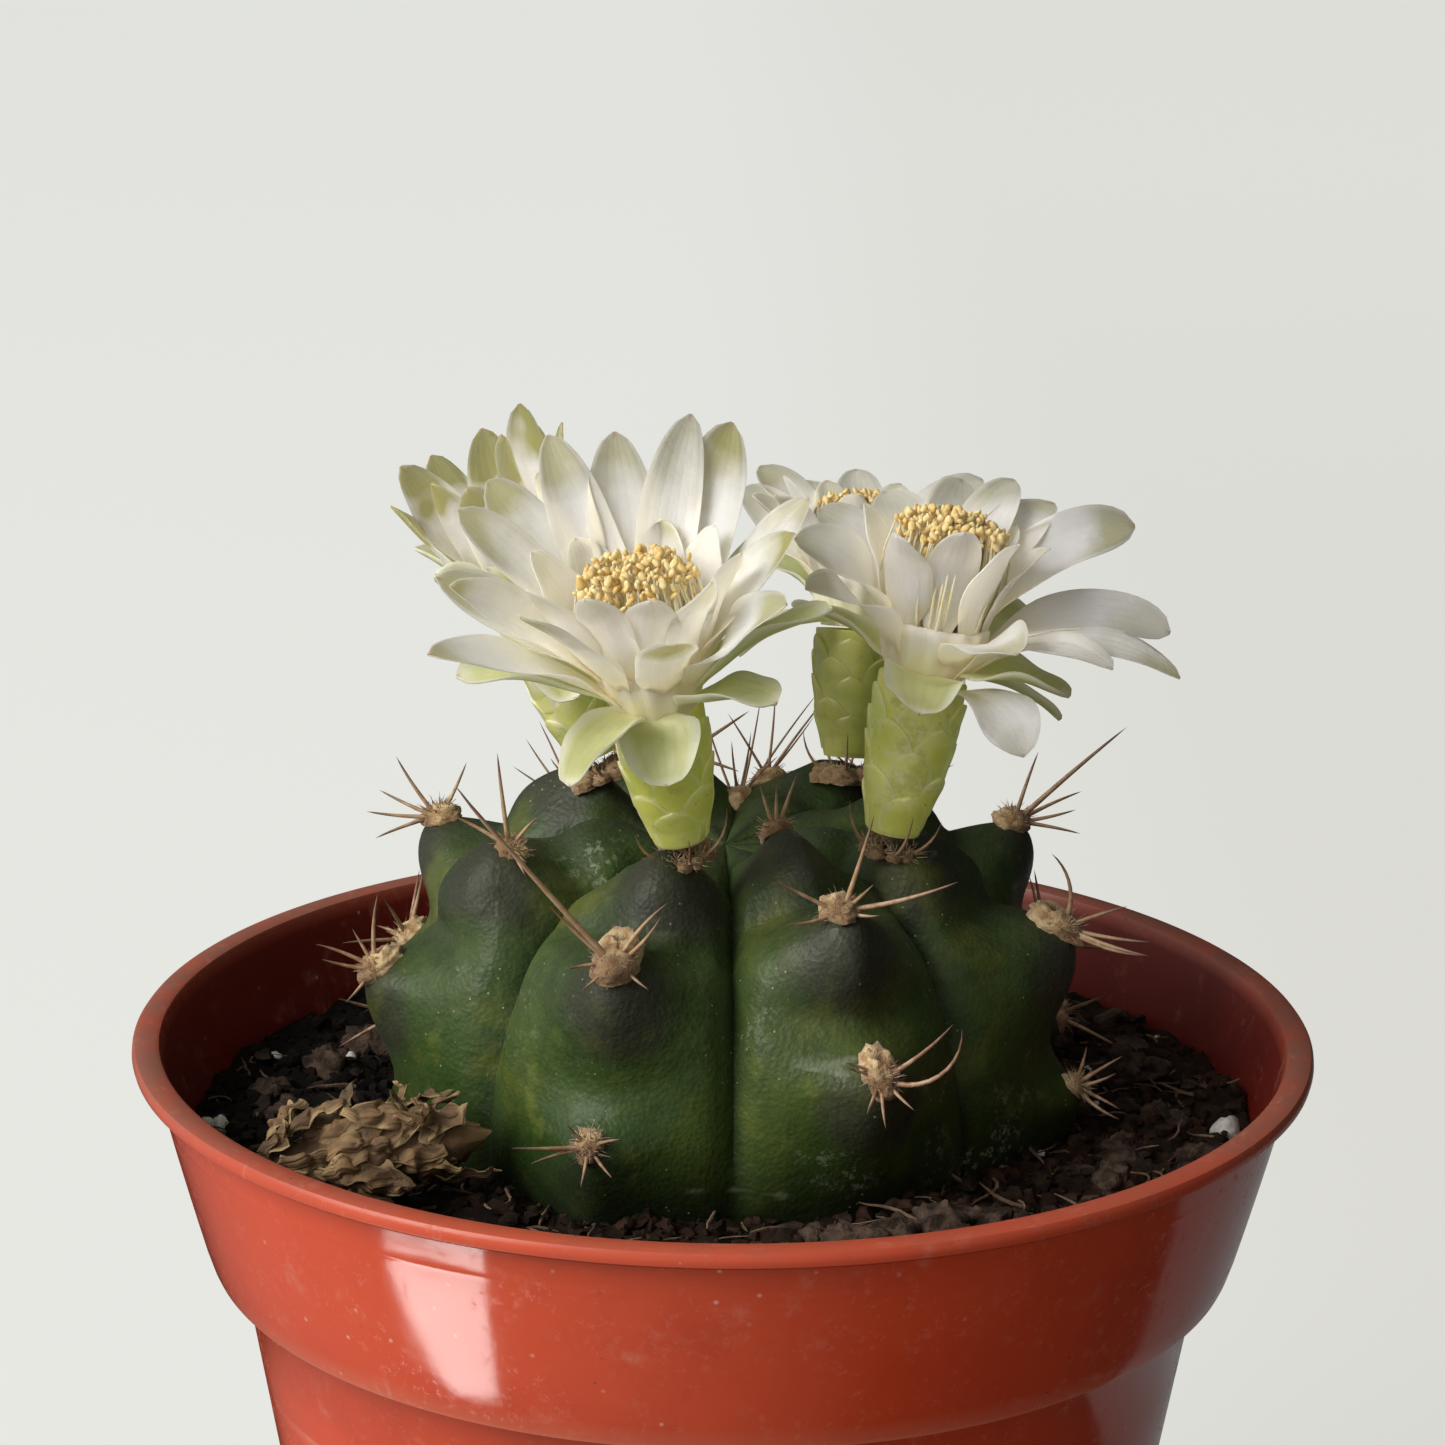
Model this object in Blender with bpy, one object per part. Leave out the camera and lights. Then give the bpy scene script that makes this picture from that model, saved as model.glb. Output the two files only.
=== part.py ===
"""A chin cactus in bloom, in a plastic nursery pot.

The pot stands on its flat base with its axis on +Z. The front of the plant faces -Y. All lengths below are
millimetres, and each mesh is scaled to metres once it is finished. Azimuths are degrees round +Z, from 0 at the
front, and grow towards +X.
"""

import math
import random

import bmesh
import bpy
import numpy as np
from mathutils import Matrix, Vector, noise

MM = 0.001
GAP = 0.35

# Pot: a 12 cm nursery pot with a tall band under its lip
POT_HEIGHT = 96.0
RIM_RADIUS = 60.0
LIP_INNER_RADIUS = 57.2
LIP_DROP = 1.8
BAND_TOP_RADIUS = 58.0
BAND_FOOT_RADIUS = 52.7
BAND_HEIGHT = 22.5
WALL_TOP_RADIUS = 49.6
BASE_RADIUS = 37.5
WALL = 1.3
POT_SIDES = 42
BASE_ROUND = 1.0
STEP_RISE = 0.6
LIP_SLOPE = 0.3
LIP_ROUND = 0.5
DRAIN_HOLES = 6
DRAIN_SIDES = 8
DRAIN_RADIUS = 3.5
DRAIN_CIRCLE = 24.0
DRAIN_START = 13.0

# Soil
SOIL_LEVEL = 86.2
SOIL_COLUMNS = 40
SOIL_RELIEF = 1.5
SOIL_SLOPE_BACK = -0.026
SOIL_SLOPE_RIGHT = 0.010
COARSE_GRAIN = 0.09
FINE_GRAIN = 0.27
FINE_RELIEF_SHARE = 0.7
SOIL_RINGS = 6
SOIL_LINE_ARC = 60.0
COLLAR_ARCS = (52.0, 55.0, 58.0, 61.0, 64.0)
COLLAR_GAP = 0.8
BOWL_RINGS = 6
BOWL_CLEARANCE = 1.3
BOWL_SEARCH_TURNS = (-8, -4, 0, 4, 8)
BOWL_SEARCH_SHIFTS = (-4, -2, 0, 2, 4)

# Plant body: a flattened globe with eight ribs, its lower part buried
BODY_RADIUS = 33.4
BODY_WAIST_HEIGHT = 94.0
BODY_TOP = 119.4
BODY_BURIED = 24.0
SHOULDER_POWER = 3.4
BOWL_POWER = 2.3
CROWN_DIP = 4.5
CROWN_DIP_RADIUS = 9.0
RIB_AZIMUTHS = (-74.0, -20.0, 24.0, 74.0, 112.0, 150.0, 200.0, 246.0)
CREST_TURNS = 400
CREST_STEP = 0.5
BURIED_FADE = 20.0
COLUMNS_PER_RIB = 8
BODY_ROWS = (5, 9.5, 13, 16.5, 20, 23.5, 27, 30, 33, 36, 39.5, 43, 47, 51, 55, 60, 67, 77)
FURROW_ARCS = (0, 8, 18, 28, 38, 48, 58, 75)
FURROW_DEPTHS = (0, 1.6, 4.8, 7.0, 5.8, 3.2, 1.6, 1.0)
KEEL_ARCS = (30, 48)
KEEL_POWERS = (1.35, 2.1)
CREASE_SHARE = 0.25
CREASE_START = 0.8
CREASE_POWER = 1.2
CHIN_HEIGHT = 2.6
CHIN_WIDTH = 6.0
CHIN_RISE = 3.0
CHIN_FALL = 7.0
CHIN_BELOW_AREOLE = 1.4
NOSE_HEIGHT = 1.2
NOSE_WIDTH = 3.0
LEDGE_DEPTH = 2.2
LEDGE_WIDTH = 9.0
LEDGE_ABOVE_AREOLE = 5.5
LEDGE_LENGTH = 3.0
LEDGE_LAST_ARC = 54.0
LEDGE_FADE = 14.0
CHIN_LEAST_SIZE = 0.35
CHIN_FULL_ARC = 45.0
CHIN_REACH = 16.0

# Areoles: rib, turn from its crest, distance from the crown along the rib, wool radius, and the spines that
# show from the front. Each of those is its clock angle there, its lean to the viewer and its length.
VIEW_TILT = 15.0
AREOLES = {
    "left_shoulder": (0, 13, 24.5, 1.7, ((-8, 20, 9.5), (-45, 15, 7.5), (-54, 10, 6), (30, 20, 4))),
    "left_middle": (0, 0, 41.0, 2.0, ((-8, 20, 7.5), (-56, 20, 6), (-84, 25, 5), (-150, 30, 4))),
    "left_low": (0, 0, 56.5, 1.6, ((-61, 25, 5), (20, 40, 4), (-140, 30, 4))),
    "front_left_middle": (
        1,
        2,
        33.5,
        2.3,
        ((-42, 25, 23), (-51, 25, 8), (-90, 30, 4), (-135, 30, 3.5), (131, 30, 3.5), (34, 30, 8),
        (50, 30, 6.5)),
    ),
    "front_left_low": (1, 0, 49.5, 1.7,
        ((-91, 25, 7), (-45, 35, 3), (66, 35, 3), (-174, 35, 3.5), (143, 35, 3.5))),
    "front_right_top": (2, 0, 13.0, 1.6, ((-23, 10, 4.5), (-3, 20, 4.5), (15, 10, 5.5))),
    "front_right_middle": (
        2,
        -2,
        29.0,
        2.0,
        ((18, 25, 10), (-67, 20, 6.5), (55, 35, 4), (75, 20, 11), (101, 35, 3.5), (-104, 25, 5)),
    ),
    "front_right_low": (2, 0, 43.0, 2.0,
        ((-56, 30, 3.5), (53, 25, 8.5), (94, 25, 8.5), (140, 35, 4), (-170, 35, 4.5))),
    "right_middle": (3, 0, 36.5, 2.2, ((23, 20, 5), (84, 10, 5), (115, 15, 8), (123, 25, 8.5))),
    "right_low": (3, 0, 52.0, 1.8, ((23, 20, 4), (52, 20, 5.5), (80, 15, 4), (140, 20, 5))),
    "back_right_shoulder": (4, 0, 32.5, 1.8, ((46, 10, 14.5), (16, 0, 7), (83, 10, 5.5), (96, 15, 6))),
    "left_back_shoulder": (7, 0, 33.0, 1.8, ((-40, 10, 7), (29, 5, 5.5), (-92, 10, 6.5), (-106, 15, 6))),
}
# The other areoles sit on the ribs that the front view hides, and their spines fan out by a rule
PLAIN_AREOLES = (
    (4, 45.0),
    (4, 53.0),
    (5, 35.0),
    (5, 47.0),
    (5, 54.0),
    (6, 14.0),
    (6, 30.0),
    (6, 43.0),
    (6, 54.0),
    (7, 46.0),
    (7, 54.0),
)
PLAIN_SPINES = 5
PLAIN_FAN = 230.0
PLAIN_TURN = 20.0
PLAIN_LIFT = (25.0, 38.0)
PLAIN_SPINE_LENGTH = (6.0, 10.0)
PLAIN_WOOL = 1.8
WOOL_RINGS = ((-0.6, 0.9), (0.25, 1.0))
WOOL_STRETCH = 1.15
WOOL_HEIGHT = 0.8
SPINE_ROOT_LIFT = 0.15
SPINE_ROOT_REACH = 0.5
SPINE_BEND = 0.06
LONG_SPINE = 9.0
SPINE_RADIUS = 0.42
SPINE_SEED = 4

# Blooms: where each grows (rib, turn from its crest, distance from the crown), how far its tube leans to
# the right and to the back, its tube's length, and its tepals. A tepal's numbers are its azimuth round the
# tube, its lift above the bloom's plane and its length, and for a sepal its width too.
SEAT_HEIGHT = 1.6
SEAT_RADIUS = 3.0
SEAT_RINGS = ((1.0, -5.5), (1.15, -1.5), (0.8, -GAP))
SEAT_SIDES = 9
TUBE_SIDES = 11
TUBE_RADII = (2.7, 3.9, 4.4, 4.5)
THROAT_LENGTH = 5.8
THROAT_RADIUS = 5.8
THROAT_SIDES = 13
THROAT_WAIST = 0.3
SHEAF_SIDES = 12
SHEAF_FOOT_SHARE = 0.65
GOLDEN_TURN = 137.5
STAMEN_LEAN = 0.8
STAMEN_TOP = 2.3
STAMEN_DOME = 0.25
STAMEN_SCATTER = 0.5
FILAMENT_RADIUS = 0.5
ANTHER_RADIUS = 0.95
ANTHER_TIP = 0.8
TEPAL_THICKNESS = 0.62
TEPAL_WIDTH = 6.0
INNER_WIDTH = 5.4
TEPAL_STAGGER = 0.05
TEPAL_STATIONS = (0, 0.5, 0.83)
INNER_STATIONS = (0, 0.75)
INNER_BEND_SHARE = 0.6
THROAT_FOOT_RADIUS = 4.0
THROAT_WAIST_RADIUS = 4.7
SEPAL_BEND = 50.0
SEPAL_RISE = 1.0
SEPAL_ROOT = 3.0
OUTER_RISE = 2.4
OUTER_ROOT = 3.8
INNER_DROP = 1.6
INNER_INSET = 1.1
BLOOMS = {
    "front": {
        "at": (1, 8, 19.5),
        "lean": (-9.5, -9.0),
        "scale": 1.0,
        "tube": 13.4,
        "bend": 26.0,
        "outer": (
            (55, 40, 18), (84, 50, 18), (106, 44, 20), (140, 50, 24), (163, 58, 24), (-172, 56, 23),
            (-150, 56, 24),
            (-130, 48, 23), (-112, 54, 22), (-90, 42, 20), (-74, 48, 20), (-60, 34, 22), (-36, 48, 17),
            (14, 44, 13),
        ),
        "inner": (
            (40, 62, 12), (12, 68, 11), (-22, 68, 12), (74, 62, 13), (125, 64, 12), (165, 66, 12),
            (-150, 64, 12),
            (-105, 66, 13), (-60, 62, 13),
        ),
        "sepals": (
            (2, -42, 8, 7.4), (54, 8, 12, 7.4), (-38, -12, 12, 7.2), (-78, 24, 17, 6), (80, 26, 17, 6),
            (118, 40, 19, 5.4), (-170, 34, 17, 5), (-118, 40, 19, 5),
        ),
        "stamens": 16,
        "sheaf": 5.6,
        "sheaf_height": 6.0,
    },
    "right": {
        "at": (3, -18, 20.0),
        "lean": (9.5, 0.0),
        "scale": 1.0,
        "tube": 15.5,
        "bend": 76.0,
        "outer": (
            (-58, 30, 15), (-88, 42, 16), (28, 26, 13), (52, 18, 18), (70, 14, 23), (92, 22, 22),
            (112, 42, 23),
            (135, 54, 19), (152, 60, 19), (176, 58, 18), (-150, 56, 16), (-118, 46, 16), (40, -12, 13),
        ),
        "inner": (
            (-42, 66, 12), (0, 74, 13), (40, 68, 13), (85, 66, 12), (130, 68, 12), (175, 70, 12),
            (-110, 68, 12),
        ),
        "sepals": (
            (-5, -12, 9, 7.6), (66, 4, 12, 7.2), (95, -16, 12, 4.6), (140, 20, 14, 5), (-165, 24, 14, 5),
            (-105, 14, 12, 5),
        ),
        "stamens": 16,
        "sheaf": 5.2,
        "sheaf_height": 7.4,
    },
    "left_back": {
        "at": (7, 0, 14.5),
        "lean": (-22.0, 4.0),
        "scale": 0.86,
        "tube": 14.2,
        "bend": 12.0,
        "outer": (
            (0, 72, 16), (38, 78, 19), (75, 70, 19), (112, 77, 20), (148, 70, 19), (-175, 77, 19),
            (-138, 70, 19),
            (-102, 77, 19), (-68, 66, 17), (-33, 76, 17),
        ),
        "inner": ((20, 84, 12), (92, 84, 13), (164, 84, 13), (-124, 84, 13), (-52, 84, 12)),
        "sepals": (
            (12, -30, 11, 8), (-48, 58, 13, 6), (-95, 64, 15, 6), (160, 64, 15, 5.4), (90, 60, 15, 5.4),
        ),
        "stamens": 6,
        "sheaf": 3.2,
        "sheaf_height": 7.0,
    },
    "right_back": {
        "at": (5, -13, 19.0),
        "lean": (3.0, 12.0),
        "scale": 0.95,
        "tube": 13.9,
        "bend": 48.0,
        "outer": (
            (-76, 52, 14), (-104, 46, 15), (-128, 56, 17), (-155, 46, 18), (178, 52, 18), (150, 45, 18),
            (122, 52, 18), (95, 44, 17), (-46, 50, 14),
        ),
        "inner": ((-95, 70, 12), (-155, 68, 12), (150, 70, 12), (90, 70, 12), (-20, 80, 10), (35, 80, 10)),
        "sepals": ((-58, -20, 13, 5), (-135, 26, 14, 5), (170, 26, 14, 5), (115, 26, 14, 5)),
        "stamens": 10,
        "sheaf": 4.8,
        "sheaf_height": 5.8,
    },
}
TUBE_SCALES = ((3, 0.12, 4.6), (4, 0.34, 5.0), (4, 0.60, 4.8))
SCALE_WIDTH = 4.2
SCALE_LIFT = 84.0
SCALE_BEND = 6.0
SCALE_THICKNESS = 0.9
SCALE_SUNK = 0.2
SCALE_STATIONS = (0, 0.7)

# Fallen bloom on the soil
DRIED_CENTRE = (-33.6, -29.2)
DRIED_AZIMUTH = 101.0
DRIED_SLOPE = 0.10
DRIED_GAP = 0.5
DRIED_PROFILE = ((1.4, -11), (2.6, -7), (3.0, -2), (3.3, 3), (2.6, 8), (1.3, 10.5))
DRIED_SIDES = 10
DRIED_TEPALS = 11
DRIED_LIFTS = (55, 80)
DRIED_LENGTHS = (6, 9)
DRIED_WIDTHS = (3.4, 4.8)
DRIED_BENDS = (-50, 40)
DRIED_FIRST_HEIGHT = -9.0
DRIED_LAST_HEIGHT = 5.0
DRIED_ROOT_RADIUS = 1.8
DRIED_THICKNESS = 0.7
DRIED_SEED = 11
SHARP_ANGLE = 35.0


def direction(azimuth):
    angle = math.radians(azimuth)
    return Vector((math.sin(angle), -math.cos(angle), 0))


def mesh_object(name, points, faces):
    """A new object whose faces all point out."""
    mesh = bpy.data.meshes.new(name)
    mesh.from_pydata([tuple(p) for p in points], [], faces)
    shape = bmesh.new()
    shape.from_mesh(mesh)
    bmesh.ops.recalc_face_normals(shape, faces=shape.faces)
    shape.to_mesh(mesh)
    shape.free()
    obj = bpy.data.objects.new(name, mesh)
    bpy.context.scene.collection.objects.link(obj)
    return obj


def rings_object(name, rings):
    """A closed surface through rings of as many points each; an end that is a single point is capped by a fan."""
    points = []
    starts = []
    for ring in rings:
        starts.append(len(points))
        points.extend(ring)
    faces = []
    for a, b, first, second in zip(starts, starts[1:], rings, rings[1:]):
        sides = max(len(first), len(second))
        for i in range(sides):
            j = (i + 1) % sides
            if len(first) == 1:
                faces.append((a, b + j, b + i))
            elif len(second) == 1:
                faces.append((a + i, a + j, b))
            else:
                faces.append((a + i, a + j, b + j))
                faces.append((a + i, b + j, b + i))
    if len(rings[0]) > 1:
        faces.append(tuple(reversed(range(len(rings[0])))))
    if len(rings[-1]) > 1:
        faces.append(tuple(starts[-1] + i for i in range(len(rings[-1]))))
    return mesh_object(name, points, faces)


def circle(radius, height, sides):
    return [direction(360 * i / sides) * radius + Vector((0, 0, height)) for i in range(sides)]


def evaluated_mesh(obj):
    graph = bpy.context.evaluated_depsgraph_get()
    return bpy.data.meshes.new_from_object(obj.evaluated_get(graph))


def keep_outer_shell(mesh):
    """Keeps the largest island of a fused mesh, which fills sealed hollows and drops loose scraps."""
    shape = bmesh.new()
    shape.from_mesh(mesh)
    left = set(shape.faces)
    islands = []
    while left:
        found = {left.pop()}
        front = list(found)
        while front:
            near = {n for edge in front.pop().edges for n in edge.link_faces} & left
            left -= near
            found |= near
            front += near
        islands.append(found)
    largest = max(islands, key=len)
    extra = [face for island in islands if island is not largest for face in island]
    bmesh.ops.delete(shape, geom=extra, context="FACES")
    shape.to_mesh(mesh)
    shape.free()


def boolean(core, pieces, operation, solver="EXACT"):
    """Joins the pieces to the core, or cuts them from it, and removes them."""
    tools = bpy.data.collections.new(core.name + "_tools")
    bpy.context.scene.collection.children.link(tools)
    for piece in pieces:
        bpy.context.scene.collection.objects.unlink(piece)
        tools.objects.link(piece)
    modifier = core.modifiers.new("join", "BOOLEAN")
    modifier.operand_type = "COLLECTION"
    modifier.collection = tools
    modifier.operation = operation
    modifier.solver = solver
    result = evaluated_mesh(core)
    core.modifiers.remove(modifier)
    core.data = result
    keep_outer_shell(result)
    for piece in pieces:
        bpy.data.objects.remove(piece)
    bpy.data.collections.remove(tools)


def material(name, colour, roughness):
    made = bpy.data.materials.new(name)
    made.use_nodes = True
    shader = made.node_tree.nodes["Principled BSDF"]
    shader.inputs["Base Color"].default_value = (*colour, 1)
    shader.inputs["Roughness"].default_value = roughness
    return made


def finish(obj, made):
    """Scales a finished mesh to metres and gives it its material."""
    obj.data.transform(Matrix.Scale(MM, 4))
    obj.data.materials.clear()
    obj.data.materials.append(made)
    obj.location *= MM
    obj.data.shade_smooth()
    obj.data.set_sharp_from_angle(angle=math.radians(SHARP_ANGLE))


def inner_wall_radius(height):
    """The radius of the pot's inner face, which follows its outer face one wall thickness in."""
    step = POT_HEIGHT - BAND_HEIGHT
    if height > step + WALL:
        share = (height - step) / (BAND_HEIGHT - LIP_DROP)
        return BAND_FOOT_RADIUS - WALL + share * (BAND_TOP_RADIUS - BAND_FOOT_RADIUS)
    return BASE_RADIUS - WALL + (height / step) * (WALL_TOP_RADIUS - BASE_RADIUS)


def make_pot():
    step = POT_HEIGHT - BAND_HEIGHT
    lip_foot = POT_HEIGHT - LIP_DROP
    shelf = step + WALL
    outside = (
        (BASE_RADIUS - BASE_ROUND, 0),
        (BASE_RADIUS, BASE_ROUND),
        (WALL_TOP_RADIUS, step - STEP_RISE),
        (BAND_FOOT_RADIUS, step),
        (BAND_TOP_RADIUS, lip_foot),
        (RIM_RADIUS, lip_foot + LIP_SLOPE),
        (RIM_RADIUS, POT_HEIGHT - LIP_ROUND),
        (RIM_RADIUS - LIP_ROUND, POT_HEIGHT),
    )
    inside = (
        (LIP_INNER_RADIUS, POT_HEIGHT),
        (inner_wall_radius(lip_foot), lip_foot),
        (inner_wall_radius(shelf + 0.2), shelf + 0.2),
        (inner_wall_radius(shelf - 0.2), shelf - 0.2),
        (inner_wall_radius(WALL), WALL),
    )
    pot = rings_object("pot", [circle(r, z, POT_SIDES) for r, z in outside + inside])
    drills = []
    for i in range(DRAIN_HOLES):
        centre = direction(DRAIN_START + 360 * i / DRAIN_HOLES) * DRAIN_CIRCLE
        ends = (-WALL, 2 * WALL)
        rings = [[centre + p for p in circle(DRAIN_RADIUS, z, DRAIN_SIDES)] for z in ends]
        drills.append(rings_object("drill", rings))
    boolean(pot, drills, "DIFFERENCE")
    finish(pot, material("pot_plastic", (0.50, 0.075, 0.035), 0.35))


def crest_profile():
    """Radius and height along a rib's crest, from the crown's centre down to the buried pole, at even steps."""
    fine = []
    for i in range(CREST_TURNS + 1):
        turn = math.radians(90 - 180 * i / CREST_TURNS)
        power = SHOULDER_POWER if turn > 0 else BOWL_POWER
        reach = BODY_TOP - BODY_WAIST_HEIGHT if turn > 0 else BODY_BURIED
        radius = BODY_RADIUS * max(math.cos(turn), 0) ** (2 / power)
        rise = math.copysign(reach * abs(math.sin(turn)) ** (2 / power), turn)
        dip = CROWN_DIP * math.exp(-((radius / CROWN_DIP_RADIUS) ** 2)) if turn > 0 else 0
        fine.append(Vector((radius, BODY_WAIST_HEIGHT + rise - dip)))
    points = [fine[0]]
    left = CREST_STEP
    for a, b in zip(fine, fine[1:]):
        length = (b - a).length
        along = left
        while along < length:
            points.append(a.lerp(b, along / length))
            along += CREST_STEP
        left = along - length
    return points


CREST = crest_profile()
CREST_LENGTH = CREST_STEP * (len(CREST) - 1)


def crest_at(arc):
    """Point and outward normal of the crest profile at a distance from the crown, as (radius, height) pairs."""
    place = min(max(arc / CREST_STEP, 0), len(CREST) - 1.001)
    i = int(place)
    point = CREST[i].lerp(CREST[i + 1], place - i)
    before = CREST[max(i - 2, 0)]
    after = CREST[min(i + 3, len(CREST) - 1)]
    along = (after - before).normalized()
    return point, Vector((-along.y, along.x))


def rib_phase(azimuth):
    """How far an azimuth lies from its rib's crest: 0 on the crest, -1 and 1 in the furrows beside it."""
    ribs = len(RIB_AZIMUTHS)
    for i, crest in enumerate(RIB_AZIMUTHS):
        before = RIB_AZIMUTHS[i - 1] - (360 if i == 0 else 0)
        after = RIB_AZIMUTHS[(i + 1) % ribs] + (360 if i == ribs - 1 else 0)
        turn = (azimuth - crest + 180) % 360 - 180
        half = (after - crest) / 2 if turn > 0 else (crest - before) / 2
        if abs(turn) <= half + 1e-6:
            return turn / half
    return 1.0


def furrow(azimuth, arc):
    phase = abs(rib_phase(azimuth))
    depth = float(np.interp(arc, FURROW_ARCS, FURROW_DEPTHS))
    keel = float(np.interp(arc, KEEL_ARCS, KEEL_POWERS))
    crease = max(0, (phase - CREASE_START) / (1 - CREASE_START)) ** CREASE_POWER
    return depth * ((1 - CREASE_SHARE) * phase**keel + CREASE_SHARE * crease)


def bloom_place(bloom):
    rib, turn, arc = bloom["at"]
    return RIB_AZIMUTHS[rib] + turn, arc


def areole_places():
    """Azimuth and distance from the crown of each areole, with those that carry a bloom."""
    places = [(RIB_AZIMUTHS[rib] + turn, arc) for rib, turn, arc, *_ in AREOLES.values()]
    places += [(RIB_AZIMUTHS[rib], arc) for rib, arc in PLAIN_AREOLES]
    places += [bloom_place(bloom) for bloom in BLOOMS.values()]
    return places


def chins(azimuth, arc):
    """The bulge under each areole, with its nose, and the ledge over it."""
    total = 0
    radius = crest_at(arc)[0].x
    for centre, place in AREOLE_PLACES:
        across = math.radians((azimuth - centre + 180) % 360 - 180) * radius
        if abs(across) > CHIN_REACH or abs(arc - place) > CHIN_REACH:
            continue
        size = min(1, CHIN_LEAST_SIZE + place / CHIN_FULL_ARC)
        near = math.exp(-((across / (CHIN_WIDTH * size)) ** 2))
        wide = math.exp(-((across / (LEDGE_WIDTH * size)) ** 4))
        nose = math.exp(-((across / NOSE_WIDTH) ** 2))
        below = arc - place - CHIN_BELOW_AREOLE
        below = math.exp(-((below / (CHIN_FALL if below > 0 else CHIN_RISE)) ** 2))
        above = math.exp(-(((place - LEDGE_ABOVE_AREOLE - arc) / LEDGE_LENGTH) ** 2))
        ledge = wide * LEDGE_DEPTH * above * min(1, max(0, (LEDGE_LAST_ARC - place) / LEDGE_FADE))
        total += size * ((near * CHIN_HEIGHT + nose * NOSE_HEIGHT) * below - ledge)
    return total


AREOLE_PLACES = areole_places()


def body_point(azimuth, arc):
    point, normal = crest_at(arc)
    fade = min(1, (CREST_LENGTH - arc) / BURIED_FADE)
    lift = fade * (chins(azimuth, arc) - furrow(azimuth, arc))
    radius = max(point.x + normal.x * lift, 0)
    return direction(azimuth) * radius + Vector((0, 0, point.y + normal.y * lift))


def surface_frame(azimuth, arc):
    """A point of the skin with its outward normal, the way to the crown and the way to greater azimuths."""
    point = body_point(azimuth, arc)
    up = (body_point(azimuth, arc - 0.6) - body_point(azimuth, arc + 0.6)).normalized()
    step = 40 / max(crest_at(arc)[0].x, 4)
    side = (body_point(azimuth + step, arc) - body_point(azimuth - step, arc)).normalized()
    normal = side.cross(up).normalized()
    if normal.dot(direction(azimuth) + Vector((0, 0, 1))) < 0:
        normal = -normal
    side = up.cross(normal).normalized()
    return point, normal, up, side


def body_core():
    azimuths = []
    ribs = len(RIB_AZIMUTHS)
    for i, crest in enumerate(RIB_AZIMUTHS):
        before = RIB_AZIMUTHS[i - 1] - (360 if i == 0 else 0)
        after = RIB_AZIMUTHS[(i + 1) % ribs] + (360 if i == ribs - 1 else 0)
        half = COLUMNS_PER_RIB // 2
        azimuths += [crest - (crest - before) / 2 * (1 - k / half) for k in range(half)]
        azimuths += [crest + (after - crest) / 2 * k / half for k in range(half)]
    rings = [[body_point(0, 0)]]
    for arc in BODY_ROWS:
        rings.append([body_point(azimuth, arc) for azimuth in azimuths])
    rings.append([body_point(0, CREST_LENGTH)])
    return rings_object("cactus_body", rings[::-1])


def wool(point, normal, up, side, radius):
    """A low cushion of wool: a dome with its widest ring sunk in the skin."""
    rings = []
    for sunk, reach in WOOL_RINGS:
        rings.append(
            [
                point + normal * radius * sunk
                + (side * math.sin(a) + up * WOOL_STRETCH * math.cos(a)) * radius * reach
                for a in (math.tau * i / 6 for i in range(6))
            ]
        )
    rings.append([point + normal * radius * WOOL_HEIGHT])
    return rings_object("wool", rings)


def spine(root, way, normal, length, radius=SPINE_RADIUS):
    """A three-sided needle, bent a little away from the skin, its root sunk in the wool."""
    across = way.cross(normal).normalized()
    other = across.cross(way)
    rings = []
    for share, size in ((0, 1.0), (0.5, 0.75)) if length > LONG_SPINE else ((0, 1.0),):
        centre = root + way * length * share + normal * length * SPINE_BEND * share * share
        rings.append(
            [
                centre + (across * math.cos(a) + other * math.sin(a)) * radius * size
                for a in (math.tau * i / 3 for i in range(3))
            ]
        )
    rings.append([root + way * length + normal * length * SPINE_BEND])
    return rings_object("spine", rings)


def seen_way(clock, lean):
    """The way of a spine from how it looks from the front: its clock angle and its lean to the viewer."""
    turn, near, tilt = (math.radians(a) for a in (clock, lean, VIEW_TILT))
    rise = Vector((0, math.sin(tilt), math.cos(tilt)))
    facing = Vector((0, -math.cos(tilt), math.sin(tilt)))
    flat = Vector((math.sin(turn), 0, 0)) + rise * math.cos(turn)
    return flat * math.cos(near) + facing * math.sin(near)


def fanned_way(frame, clock, lift):
    """The way of a spine from its clock angle on the skin, 0 towards the crown, and its lift off the skin."""
    turn, rise = math.radians(clock), math.radians(lift)
    flat = frame[3] * math.sin(turn) + frame[2] * math.cos(turn)
    return flat * math.cos(rise) + frame[1] * math.sin(rise)


def areole_pieces(frame, radius, spines):
    """The wool of an areole and its spines, each given by its way and its length."""
    point, normal, up, side = frame
    pieces = [wool(point, normal, up, side, radius)]
    for way, length in spines:
        flat = way - normal * way.dot(normal)
        root = point + normal * radius * SPINE_ROOT_LIFT + flat * radius * SPINE_ROOT_REACH
        pieces.append(spine(root, way, normal, length))
    return pieces


def bloom_matrix(bloom):
    """The place of a bloom: +Z along its tube, which starts just above its seat, and -Y to its front."""
    point = surface_frame(*bloom_place(bloom))[0]
    lean_right, lean_back = (math.tan(math.radians(a)) for a in bloom["lean"])
    axis = Vector((lean_right, lean_back, 1)).normalized()
    turn = Vector((0, 0, 1)).rotation_difference(axis)
    return Matrix.Translation(point + axis * (SEAT_HEIGHT + GAP)) @ turn.to_matrix().to_4x4()


def bloom_seat(bloom):
    """The woolly areole under a bloom, with the flat top that the tube stands on."""
    place = bloom_matrix(bloom)
    rings = []
    for share, height in SEAT_RINGS:
        rings.append([place @ p for p in circle(SEAT_RADIUS * share, height, SEAT_SIDES)])
    return rings_object("seat", rings)


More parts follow.
